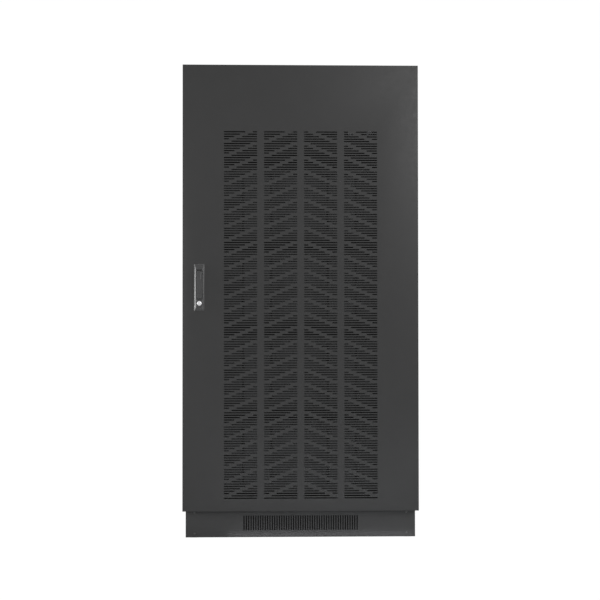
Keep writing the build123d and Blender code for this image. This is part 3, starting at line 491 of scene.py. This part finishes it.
def grille_holes(top, foot):
    """Slots of two columns and their mirror images. The last row has no bridge."""
    row_pitch = (top - foot) / ROWS
    holes = []
    for column in (2, 1):
        left = -column * COLUMN_PITCH + (COLUMN_PITCH - COLUMN) / 2
        for row in range(ROWS):
            z = top - (row + 0.5) * row_pitch
            spans = [(0, 1)] if row == ROWS - 1 else CHEVRON[row % len(CHEVRON)]
            for start, end in spans:
                x0 = left + start * COLUMN
                x1 = left + end * COLUMN
                holes.append(obround(x0, x1, z, SLOT))
                holes.append(obround(-x1, -x0, z, SLOT))
    return holes


lo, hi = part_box("door_skin")
h_lo, h_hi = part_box("handle_housing")
HX = (h_lo.x + h_hi.x) / 2
HZ = (h_lo.z + h_hi.z) / 2
holes = grille_holes(hi.z - FIELD_BELOW_TOP, lo.z + FIELD_ABOVE_FOOT)
holes.append(rectangle(HX - HANDLE_CUT_X, HZ - HANDLE_CUT_Z, HX + HANDLE_CUT_X, HZ + HANDLE_CUT_Z))
bm = bmesh.new()
cut_sheet(bm, rectangle(lo.x, lo.z, hi.x, hi.z), holes, lo.y, hi.y, 1.3 * MM)
stand_for("grille_skin", bm, "door_skin")

# ---------------------------------------------------------------- handle

HEAD_TOP = 6.0
PRESSED = 0.8
TURNING_RADIUS = 6.0 * MM
EAR = 4.0 * MM
PIN_RADIUS = 2.0 * MM
SHAFT_SIDES = 42

softened("handle_housing", 0.7, 3)

l_lo, l_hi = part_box("handle_lever")
LEVER_T = l_hi.y - l_lo.y
PIN_Y = (l_lo.y + l_hi.y) / 2
PIN_Z = l_hi.z - LEVER_T / 2
LEVER_L = PIN_Z - l_lo.z


def lever_section(x, inset, pressed, notched):
    """The lever's side view at one x: height above its back and distance from the pin, in mm."""
    tip = -LEVER_L / MM
    face = LEVER_T / MM - inset
    floor = face - PRESSED if pressed else face
    top = HEAD_TOP - inset
    outside = [
        (3.4 + inset, tip + inset), (face - 2.0, tip + inset), (face, tip + 6), (face, -27.0),
        (floor, -25.4), (floor, 0.6), (face, 2.0), (face, 3.2 - inset), (face - 2.8, top),
        (6.6, top),
    ]
    slot = [(6.6, 5.0), (9.7, 4.9), (9.7, -8.0)]
    round_back = [(4.0, 5.2 - inset / 2), (0.6, 3.2), (0.0, 0.0)]
    back = [(0.0, -9.6), (0.0, tip + 8.5)]
    points = outside + (slot if notched else round_back) + back
    return [(HX + x * MM, l_hi.y - rise * MM, PIN_Z + along * MM) for rise, along in points]


half = (l_hi.x - l_lo.x) / 2 / MM
# From one side to the middle: x, inset, pressed in, notched for the spindle's ear.
half_sections = [
    (half, 2.4, False, False), (half - 0.7, 0.8, False, False), (half - 2.4, 0, False, False),
    (6.0, 0, False, False), (5.2, 0, True, False), (4.3, 0, True, False), (4.3, 0, True, True),
]
bm = bmesh.new()
sections = [lever_section(-x, *rest) for x, *rest in half_sections]
sections += [lever_section(x, *rest) for x, *rest in half_sections[::-1]]
loft(bm, sections)
tidy_faces(bm)
stand_for("swing_lever", bm, "handle_lever", angle=12.0)

s_lo, s_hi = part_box("handle_spindle")
bezel_y = h_lo.y + 2 * MM
dish_y = h_hi.y
shaft = dish_y - bezel_y
pin = s_hi.x - s_lo.x
bm = bmesh.new()
lathe(bm, (HX, dish_y, PIN_Z), (0, -1, 0), [(TURNING_RADIUS, 0, 0), (TURNING_RADIUS, shaft, 0)],
      SHAFT_SIDES)
add_box(bm, (HX - EAR, dish_y, PIN_Z - EAR), (HX + EAR, s_hi.y, PIN_Z + EAR), 0.5 * MM)
add_box(bm, (HX - EAR, PIN_Y, PIN_Z - EAR), (HX + EAR, bezel_y, PIN_Z + EAR), 0.3 * MM)
lathe(bm, (HX - EAR, PIN_Y, PIN_Z), (1, 0, 0), [(EAR, 0, 0), (EAR, 2 * EAR, 0)], SHAFT_SIDES)
lathe(bm, (s_lo.x, PIN_Y, PIN_Z), (1, 0, 0), [(PIN_RADIUS, 0, 0), (PIN_RADIUS, pin, 0)],
      SHAFT_SIDES)
stand_for("spindle_and_pin", bm, "handle_spindle")

# The barrel's rounded rim, its raised face and the well that the key disc lies in.
BARREL = [
    (9.2, "back", 0), (9.5, "back", 0.5), (9.5, "front", 1.2), (9.2, "front", 0.5),
    (8.5, "front", 0.1), (7.7, "front", 0), (6.2, "front", 0), (5.9, "front", 0.6),
    (5.4, "front", 0.6), (5.0, "front", 2.6),
]
KEY_DISC = 5.1 * MM
KEY_HALF = 3.4 * MM
KEY_WIDTH = 1.7 * MM
BARREL_SIDES = 48

c_lo, c_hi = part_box("lock_cylinder")
LOCK_Z = (c_lo.z + c_hi.z) / 2
reach = c_hi.y - c_lo.y
rings = [(radius * MM, depth * MM if end == "back" else reach - depth * MM, 0)
         for radius, end, depth in BARREL]
bm = bmesh.new()
lathe(bm, (HX, c_hi.y, LOCK_Z), (0, -1, 0), rings, BARREL_SIDES)
key = upright(obround(LOCK_Z - KEY_HALF, LOCK_Z + KEY_HALF, HX, KEY_WIDTH))
cut_sheet(bm, disc(HX, LOCK_Z, KEY_DISC, BARREL_SIDES), [key],
          c_lo.y + 0.05 * MM, c_lo.y + 2.6 * MM)
stand_for("lock_barrel", bm, "lock_cylinder")

# ---------------------------------------------------------------- plinth

VENTS = 49
VENT_PITCH = 9.5 * MM
VENT_WIDTH = 4.6 * MM
VENT_FOOT = 29.0 * MM
VENT_TOP = 89.0 * MM
SHEET = 1.5 * MM
# Size and place of a dark sheet behind the vents: painted shade for the dark inside of the plinth.
SHADE_SHEET_HALF = 236.0 * MM
SHADE_SHEET_BEHIND = 7.0 * MM
SHADE_SHEET_FOOT = 24.0 * MM
SHADE_SHEET_TOP = 94.0 * MM

lo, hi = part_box("plinth_front")
vents = []
for n in range(VENTS):
    x = (n - VENTS // 2) * VENT_PITCH
    vents.append(upright(obround(VENT_FOOT, VENT_TOP, x, VENT_WIDTH)))
bm = bmesh.new()
cut_sheet(bm, rectangle(lo.x, lo.z, hi.x, hi.z), vents, lo.y, lo.y + SHEET, 1.2 * MM)
add_box(bm, (lo.x, lo.y + SHEET, lo.z), (hi.x, hi.y, lo.z + SHEET))
stand_for("plinth_cover", bm, "plinth_front")

# A dark sheet behind the vents, painted shade that stands in for the dark inside of the plinth.
bm = bmesh.new()
add_box(bm, (-SHADE_SHEET_HALF, lo.y + SHADE_SHEET_BEHIND, SHADE_SHEET_FOOT), (SHADE_SHEET_HALF, hi.y, SHADE_SHEET_TOP),
        0.8 * MM)
to_object("plinth_painted_shade_sheet", bm, "seal_rubber", "cabinet")

lo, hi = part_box("plinth_screws")
bm = bmesh.new()
for x in (lo.x + 5 * MM, hi.x - 5 * MM):
    for z in (lo.z + 4.3 * MM, hi.z - 4.3 * MM):
        pan_head(bm, (x, hi.y, z), (0, -1, 0), 4.6 * MM, hi.y - lo.y)
stand_for("plinth_screw_heads", bm, "plinth_screws", "handle_cast")

# ---------------------------------------------------------------- panels

PANEL_EDGE = 1.2 * MM
SCREW_INSET = 14.0 * MM
SUNK_HOLE = 5.2 * MM
SUNK_HEAD = 5.0 * MM
SUNK_DEPTH = 0.15 * MM
SIDE_SCREW_INSET = 18.0 * MM
POST_X = 452.5 * MM
LIFT_Y = (-354 * MM, 403.5 * MM)
LIFT_HOLE = 6.5 * MM
# Drops of the rear vents below the panel's top, in mm.
REAR_VENTS = (62, 84, 106, 128)
REAR_VENT_INNER = 50.0 * MM
REAR_VENT_OUTER = 250.0 * MM
REAR_VENT_HEIGHT = 8.0 * MM

lo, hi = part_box("rear_panel")
vents = []
for drop in REAR_VENTS:
    z = hi.z - drop * MM
    vents.append(obround(REAR_VENT_INNER, REAR_VENT_OUTER, z, REAR_VENT_HEIGHT, 7))
    vents.append(obround(-REAR_VENT_OUTER, -REAR_VENT_INNER, z, REAR_VENT_HEIGHT, 7))
rear_screws = [(sx * (hi.x - SCREW_INSET), lo.z + share * (hi.z - lo.z)) for sx in (-1, 1)
               for share in (0.012, 0.2, 0.4, 0.6, 0.8, 0.988)]
rear_screws += [(x * MM, z) for x in (-230, 0, 230)
                for z in (lo.z + SCREW_INSET, hi.z - SCREW_INSET)]
holes = vents + [disc(x, z, SUNK_HOLE) for x, z in rear_screws]
bm = bmesh.new()
cut_sheet(bm, rectangle(lo.x, lo.z, hi.x, hi.z), holes, hi.y, lo.y, PANEL_EDGE)
stand_for("rear_sheet", bm, "rear_panel")
bm = bmesh.new()
for x, z in rear_screws:
    flush_head(bm, (x, hi.y - SUNK_DEPTH, z), (0, 1, 0), SUNK_HEAD)
to_object("rear_screws", bm, "powder_black", "cabinet")

lo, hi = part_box("top_panel")
g_lo, g_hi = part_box("gland_plate")
mouth = (-150 * MM, g_lo.y + 12 * MM, 150 * MM, g_hi.y + 0.5 * MM)
lifts = [(sx * POST_X, y) for sx in (-1, 1) for y in LIFT_Y]
top_screws = [(sx * POST_X, y * MM) for sx in (-1, 1) for y in (-190, -30, 130, 290)]
top_screws += [(x * MM, y) for x in (-300, -100, 100, 300)
               for y in (lo.y + SCREW_INSET, hi.y - SCREW_INSET)]
flat_to_top = Matrix(((1, 0, 0, 0), (0, 0, 1, 0), (0, -1, 0, 0), (0, 0, 0, 1)))
holes = [rounded_rectangle(*mouth, 6 * MM)]
holes += [disc(x, y, LIFT_HOLE, 42) for x, y in lifts]
holes += [disc(x, y, SUNK_HOLE) for x, y in top_screws]
bm = bmesh.new()
cut_sheet(bm, rectangle(lo.x, lo.y, hi.x, hi.y), holes, -hi.z, -lo.z, PANEL_EDGE,
          turn=flat_to_top)
stand_for("top_sheet", bm, "top_panel")
bm = bmesh.new()
for x, y in top_screws:
    flush_head(bm, (x, y, hi.z - SUNK_DEPTH), (0, 0, 1), SUNK_HEAD)
to_object("top_screws", bm, "powder_black", "cabinet")

for side, sx in (("left", -1), ("right", 1)):
    node = "side_panel_" + side
    lo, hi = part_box(node)
    outer = lo.x if sx < 0 else hi.x
    places = [(y, lo.z + share * (hi.z - lo.z))
              for y in (lo.y + SIDE_SCREW_INSET, hi.y - SIDE_SCREW_INSET)
              for share in (0.010, 0.2, 0.4, 0.6, 0.8, 0.990)]
    places += [(lo.y + share * (hi.y - lo.y), z) for share in (0.33, 0.67)
               for z in (lo.z + SIDE_SCREW_INSET, hi.z - SIDE_SCREW_INSET)]
    bm = bmesh.new()
    for y, z in places:
        pan_head(bm, (outer, y, z), (sx, 0, 0), 4.8 * MM, 0.9 * MM)
    to_object(node + "_screws", bm, "powder_black", "cabinet")

for width, nodes in ROUNDING:
    for node in nodes:
        softened(node, width)

# ---------------------------------------------------------------- batteries

BLOCKS = 8
TIERS = 4
BLOCK_W = 110.0 * MM
BLOCK_CORNER = 4.0 * MM
# A case from its foot to its rim, and a lid from its skirt to its top: inset and height in mm.
CASE_LEVELS = [
    (2.5, 0), (0.6, 1.2), (0, 4), (0, 60), (1.2, 62), (1.2, 78), (0, 80), (0, 118), (1.2, 120),
    (1.2, 136), (0, 138), (0, 176), (1.2, 178), (1.2, 194), (0, 196), (0, 246), (1.6, 248),
    (1.6, 255),
]
LID_LEVELS = [
    (1.0, 0), (0, 1.0), (0, 14), (1.0, 16), (1.0, 24), (2.6, 27.2), (6.5, 30.4), (9, 30.8),
]
# The raised panel on a lid: inset across, inset along and height in mm.
LID_PANEL = [(20, 46, 30.8), (21, 47, 32.9)]
LID_PANEL_SHIFT = 12.0 * MM
LID_PANEL_CORNER = 5.0 * MM
GRIP_INSET = 24.0 * MM
GRIP_HALF = Vector((30.0, 6.0, 1.2)) * MM
GRIP_HEIGHT = 31.8 * MM
LINK_FRONT = 3.0 * MM
TERMINAL_RISE = 9.0 * MM
COVER_INSET = 17.0 * MM
COVER_HALF_Z = 10.0 * MM
COVER_CAP = [(5.0, 0), (4.8, 0.9), (2.2, 0.9), (2.0, 0.1)]
PALM_OUT = 27.0 * MM
POLE_X = 45.0 * MM
POLE_DROP = 9.0 * MM
# Half widths, and how far each reaches before and behind the face of the links.
PALM_HALF = 9.1 * MM
PALM_FRONT = 0.12 * MM
PALM_BACK = 3.12 * MM
BOOT_HALF = 11.5 * MM
BOOT_HALF_Z = 11.0 * MM
BOOT_FRONT = 22.0 * MM
BOOT_BACK = 1.4 * MM
COVER_FRONT = 7.0 * MM
COVER_BACK = 1.5 * MM
CAP_INSET = 10.0 * MM
CAP_FRONT = 6.9 * MM


def ring(x, y, rx, ry, radius, z):
    """A rounded rectangle about (x, y), level at z."""
    loop = rounded_rectangle(x - rx, y - ry, x + rx, y + ry, radius)
    return [(p[0], p[1], z) for p in loop]


lids_lo, lids_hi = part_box("battery_lids")
t_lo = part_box("battery_terminals")[0]
BLOCK_PITCH = (lids_hi.x - lids_lo.x - BLOCK_W) / (BLOCKS - 1)
CENTRES = [lids_lo.x + BLOCK_W / 2 + n * BLOCK_PITCH for n in range(BLOCKS)]
CASE_BOXES = [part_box("battery_cases_%d" % n) for n in range(1, TIERS + 1)]
TIER_Z = [high.z for low, high in CASE_BOXES]
MID_Y = (lids_lo.y + lids_hi.y) / 2
HALF_Y = (lids_hi.y - lids_lo.y) / 2


def block_ring(x, inset, z):
    """A block's outline, drawn in by an inset in mm."""
    inset *= MM
    return ring(x, MID_Y, BLOCK_W / 2 - inset, HALF_Y - inset, BLOCK_CORNER, z)


for n, (low, high) in enumerate(CASE_BOXES, 1):
    bm = bmesh.new()
    for x in CENTRES:
        loft(bm, [block_ring(x, inset, low.z + height * MM) for inset, height in CASE_LEVELS])
    stand_for("blocks_%d" % n, bm, "battery_cases_%d" % n)

bm = bmesh.new()
for top in TIER_Z:
    for x in CENTRES:
        rings = [block_ring(x, inset, top + height * MM) for inset, height in LID_LEVELS]
        for across, along, height in LID_PANEL:
            rings.append(ring(x, MID_Y + LID_PANEL_SHIFT, BLOCK_W / 2 - across * MM,
                              HALF_Y - along * MM, LID_PANEL_CORNER, top + height * MM))
        loft(bm, rings)
        for side in (-1, 1):
            grip = Vector((x, MID_Y + side * (HALF_Y - GRIP_INSET), top + GRIP_HEIGHT))
            add_box(bm, grip - GRIP_HALF, grip + GRIP_HALF, 1.0 * MM)
stand_for("block_lids", bm, "battery_lids")

link_y = t_lo.y - LINK_FRONT
TERM_Z = [top + (t_lo.z - TIER_Z[0]) + TERMINAL_RISE for top in TIER_Z]
covers = bmesh.new()
for z in TERM_Z:
    for here, beyond in zip(CENTRES, CENTRES[1:]):
        x0 = here + COVER_INSET
        x1 = beyond - COVER_INSET
        add_box(covers, (x0, link_y - COVER_FRONT, z - COVER_HALF_Z),
                (x1, link_y + COVER_BACK, z + COVER_HALF_Z), 2.2 * MM, 3)
        for x in (x0 + CAP_INSET, x1 - CAP_INSET):
            lathe(covers, (x, link_y - CAP_FRONT, z), (0, -1, 0),
                  [(radius * MM, height * MM, 0) for radius, height in COVER_CAP])
to_object("terminal_covers", covers, "toggle_plastic", "cabinet")

end = CENTRES[-1] + PALM_OUT
pole_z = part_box("breaker_body")[0].z - POLE_DROP
palms = [(x, z) for x in (end, -end) for z in TERM_Z] + [(POLE_X, pole_z), (-POLE_X, pole_z)]
plates = bmesh.new()
boots = bmesh.new()
for x, z in palms:
    add_box(plates, (x - PALM_HALF, link_y - PALM_FRONT, z - PALM_HALF),
            (x + PALM_HALF, link_y + PALM_BACK, z + PALM_HALF), 0.4 * MM)
    add_box(boots, (x - BOOT_HALF, link_y - BOOT_FRONT, z - BOOT_HALF_Z),
            (x + BOOT_HALF, link_y + BOOT_BACK, z + BOOT_HALF_Z), 2.6 * MM, 3)
to_object("strap_palms", plates, "copper_bar", "cabinet")
to_object("strap_boots", boots, "toggle_plastic", "cabinet")

# ---------------------------------------------------------------- breaker bay

BAR_SCREWS = 6
BAR_SCREW_START = 18.0
BAR_SCREW_PITCH = 26.8
ESCUTCHEON = Vector((34, 56)) * MM
OPENING = Vector((15, 36)) * MM
SOCKETS = Vector((25, 46)) * MM
PAD = 16.0 * MM
PAD_DEPTH = 3.0 * MM
# A washer, a hexagon nut and the end of the stud: radius, height and number of flats, in mm.
STUD = [
    (9.5, 0, 0), (9.5, 1.6, 0), (8.0, 1.8, 6), (8.0, 8.4, 6), (5.2, 9.0, 0), (5.0, 17.0, 0),
    (4.2, 18.0, 0),
]
PLATE_BOLT_INSET = 16.0 * MM
BAR_BOLT_INSET = 6.5 * MM
BAR_BOLT_RISES = (16.0 * MM, 94.0 * MM)

lo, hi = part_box("earth_bar")
bm = bmesh.new()
add_box(bm, (lo.x - 4 * MM, lo.y - 5 * MM, lo.z - 3 * MM),
        (hi.x + 4 * MM, lo.y - 3 * MM, hi.z + 3 * MM), 0.9 * MM)
for x in (lo.x - 2.6 * MM, hi.x + 2.6 * MM):
    add_box(bm, (x - 1.4 * MM, lo.y - 4 * MM, lo.z - 3 * MM),
            (x + 1.4 * MM, hi.y - 16 * MM, hi.z + 3 * MM), 0.6 * MM)
to_object("earth_bar_cover", bm, "toggle_plastic", "cabinet")
bm = bmesh.new()
for n in range(BAR_SCREWS):
    x = lo.x + (BAR_SCREW_START + BAR_SCREW_PITCH * n) * MM
    hex_bolt(bm, (x, lo.y, (lo.z + hi.z) / 2), (0, -1, 0), 8 * MM, 2.6 * MM, 5 * MM)
to_object("earth_bar_screws", bm, "zinc_steel", "cabinet")

lo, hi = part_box("breaker_body")
middle = (lo.z + hi.z) / 2
outline = rectangle(-ESCUTCHEON.x, middle - ESCUTCHEON.y, ESCUTCHEON.x, middle + ESCUTCHEON.y)
opening = rounded_rectangle(-OPENING.x, middle - OPENING.y, OPENING.x, middle + OPENING.y, 4 * MM)
corners = [(sx * SOCKETS.x, middle + sz * SOCKETS.y) for sx in (-1, 1) for sz in (-1, 1)]
sockets = [disc(x, z, 3.4 * MM, 20) for x, z in corners]
bm = bmesh.new()
cut_sheet(bm, outline, [opening] + sockets, lo.y - 1.6 * MM, lo.y, 0.7 * MM)
to_object("breaker_escutcheon", bm, "toggle_plastic", "cabinet")
bm = bmesh.new()
for x, z in corners:
    pan_head(bm, (x, lo.y, z), (0, -1, 0), 3.2 * MM, 1.9 * MM)
to_object("breaker_screws", bm, "zinc_steel", "cabinet")

lo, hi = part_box("output_terminals")
middle = (lo.z + hi.z) / 2
pad_y = (lo.y + hi.y) / 2
studs = bmesh.new()
pads = bmesh.new()
for share in (0.25, 0.75):
    x = lo.x + share * (hi.x - lo.x)
    add_box(pads, (x - PAD, pad_y - PAD_DEPTH, middle - PAD), (x + PAD, pad_y, middle + PAD),
            0.5 * MM)
    lathe(studs, (x, pad_y - PAD_DEPTH, middle), (0, -1, 0),
          [(radius * MM, height * MM, flats) for radius, height, flats in STUD])
to_object("output_pads", pads, "lead_terminal", "cabinet")
to_object("output_studs", studs, "zinc_steel", "cabinet")

lo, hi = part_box("equipment_plate")
bm = bmesh.new()
for sx in (-1, 0, 1):
    for z in (lo.z + PLATE_BOLT_INSET, hi.z - PLATE_BOLT_INSET):
        place = (sx * (hi.x - PLATE_BOLT_INSET), lo.y, z)
        hex_bolt(bm, place, (0, -1, 0), 10 * MM, 5.2 * MM, 8 * MM)
lo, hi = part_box("retaining_bars")
for low, high in CASE_BOXES:
    for x in (lo.x + BAR_BOLT_INSET, hi.x - BAR_BOLT_INSET):
        for rise in BAR_BOLT_RISES:
            hex_bolt(bm, (x, lo.y, low.z + rise), (0, -1, 0), 7 * MM, 4.2 * MM, 5 * MM)
to_object("inner_bolts", bm, "zinc_steel", "cabinet")

# ---------------------------------------------------------------- stage, light and camera

# The sweep's side view, in metres: how far it runs before and behind, and its curve.
SWEEP_FRONT = -12.0
SWEEP_BACK = 5.0
SWEEP_RADIUS = 2.0
SWEEP_TOP = 9.0
SWEEP_SIDE = 14.0
STAGE_GREY = 0.82
STAGE_WHITE = 0.97
WORLD_LIGHT = 0.28
# Name, place, target, width, height and power of each lamp.
LAMPS = [
    ("key_right", (1.75, -3.1, 2.5), (0.3, -0.4, 1.4), 0.9, 0.9, 36),
    ("fill_left", (-2.1, -3.6, 1.3), (-0.3, -0.4, 1.1), 0.8, 1.4, 28),
    ("edge_left", (-3.0, -0.75, 1.1), (-0.4, -0.42, 1.05), 0.5, 2.2, 45),
    ("edge_right", (2.1, -1.5, 1.4), (0.45, -0.40, 1.3), 0.4, 1.6, 20),
    ("top_soft", (0.9, -1.5, 4.6), (0.1, 0.0, 1.0), 3.0, 2.6, 46),
]
# Light that a bright floor would throw up at the plinth. The camera doesn't see these two.
FLOOR_LAMPS = [
    ("floor_bounce", (0.35, -1.35, 0.05), (0.1, -0.38, 0.06), 1.8, 0.08, 2.2),
    ("foot_glow", (0.09, -0.415, 0.003), (0.09, -0.37, 0.003), 0.76, 0.005, 0.11),
]
FLOOR_COLORS = [(0.90, 0.95, 1.0), (0.95, 0.94, 1.0)]
# The view was fitted to a picture of 600 pixels: focal length in pixels, place and turn.
PICTURE = 600.0
FOCAL = 1741.5
SENSOR = 36.0
EYE = (-0.2713, -7.405, 0.7964)
EYE_TURN = (90 + 1.3005, 0.05, -2.194)

scene = bpy.context.scene
scene.view_settings.view_transform = "Standard"


def seen_white(tree, shader, share):
    """Mixes a shader with pure white for camera, glossy and transmission rays."""
    path = tree.nodes.new("ShaderNodeLightPath")
    first = tree.nodes.new("ShaderNodeMath")
    second = tree.nodes.new("ShaderNodeMath")
    scale = tree.nodes.new("ShaderNodeMath")
    first.operation = "MAXIMUM"
    second.operation = "MAXIMUM"
    scale.operation = "MULTIPLY"
    scale.inputs[1].default_value = share
    tree.links.new(path.outputs["Is Camera Ray"], first.inputs[0])
    tree.links.new(path.outputs["Is Glossy Ray"], first.inputs[1])
    tree.links.new(first.outputs[0], second.inputs[0])
    tree.links.new(path.outputs["Is Transmission Ray"], second.inputs[1])
    tree.links.new(second.outputs[0], scale.inputs[0])
    mix = tree.nodes.new("ShaderNodeMixShader")
    in_world = shader.node.type == "BACKGROUND"
    white = tree.nodes.new("ShaderNodeBackground" if in_world else "ShaderNodeEmission")
    white.inputs["Color"].default_value = (1, 1, 1, 1)
    white.inputs["Strength"].default_value = 1.0 / share
    tree.links.new(scale.outputs[0], mix.inputs["Fac"])
    tree.links.new(shader, mix.inputs[1])
    tree.links.new(white.outputs[0], mix.inputs[2])
    return mix.outputs[0]


def stage_material():
    """Light grey for the light that falls on it, nearly white to the camera."""
    mat = bpy.data.materials.new("white_stage")
    mat.use_nodes = True
    tree = mat.node_tree
    tree.nodes.clear()
    out = tree.nodes.new("ShaderNodeOutputMaterial")
    grey = tree.nodes.new("ShaderNodeBsdfDiffuse")
    grey.inputs["Color"].default_value = (STAGE_GREY, STAGE_GREY, STAGE_GREY, 1)
    tree.links.new(seen_white(tree, grey.outputs[0], STAGE_WHITE), out.inputs["Surface"])
    return mat


profile = [(SWEEP_FRONT, 0.0), (SWEEP_BACK, 0.0)]
for degrees in range(10, 91, 10):
    a = math.radians(degrees)
    profile.append((SWEEP_BACK + SWEEP_RADIUS * math.sin(a),
                    SWEEP_RADIUS - SWEEP_RADIUS * math.cos(a)))
profile.append((SWEEP_BACK + SWEEP_RADIUS, SWEEP_TOP))
bm = bmesh.new()
left = [bm.verts.new((-SWEEP_SIDE, y, z)) for y, z in profile]
right = [bm.verts.new((SWEEP_SIDE, y, z)) for y, z in profile]
for n in range(len(profile) - 1):
    bm.faces.new((left[n], right[n], right[n + 1], left[n + 1]))
mesh = bpy.data.meshes.new("studio_sweep")
bm.to_mesh(mesh)
bm.free()
mesh.shade_smooth()
mesh.materials.append(stage_material())
sweep = bpy.data.objects.new("studio_sweep", mesh)
scene.collection.objects.link(sweep)

world = bpy.data.worlds.new("studio")
scene.world = world
world.use_nodes = True
tree = world.node_tree
tree.nodes.clear()
out = tree.nodes.new("ShaderNodeOutputWorld")
back = tree.nodes.new("ShaderNodeBackground")
back.inputs["Color"].default_value = (1, 1, 1, 1)
back.inputs["Strength"].default_value = WORLD_LIGHT
tree.links.new(seen_white(tree, back.outputs[0], 1.0), out.inputs["Surface"])


def softbox(name, place, target, width, height, power):
    """A flat lamp that faces its target."""
    lamp = bpy.data.lights.new(name, "AREA")
    lamp.shape = "RECTANGLE"
    lamp.size = width
    lamp.size_y = height
    lamp.energy = power
    obj = bpy.data.objects.new(name, lamp)
    obj.location = place
    aim = Vector(target) - Vector(place)
    obj.rotation_euler = aim.to_track_quat("-Z", "Y").to_euler()
    scene.collection.objects.link(obj)
    return obj


for lamp in LAMPS:
    softbox(*lamp)
for lamp, color in zip(FLOOR_LAMPS, FLOOR_COLORS):
    obj = softbox(*lamp)
    obj.data.color = color
    obj.visible_camera = False

camera = bpy.data.cameras.new("camera")
camera.sensor_width = SENSOR
camera.lens = FOCAL * SENSOR / PICTURE
camera.clip_end = 60.0
eye = bpy.data.objects.new("camera", camera)
eye.location = EYE
eye.rotation_euler = Euler([math.radians(angle) for angle in EYE_TURN], "XYZ")
scene.collection.objects.link(eye)
scene.camera = eye
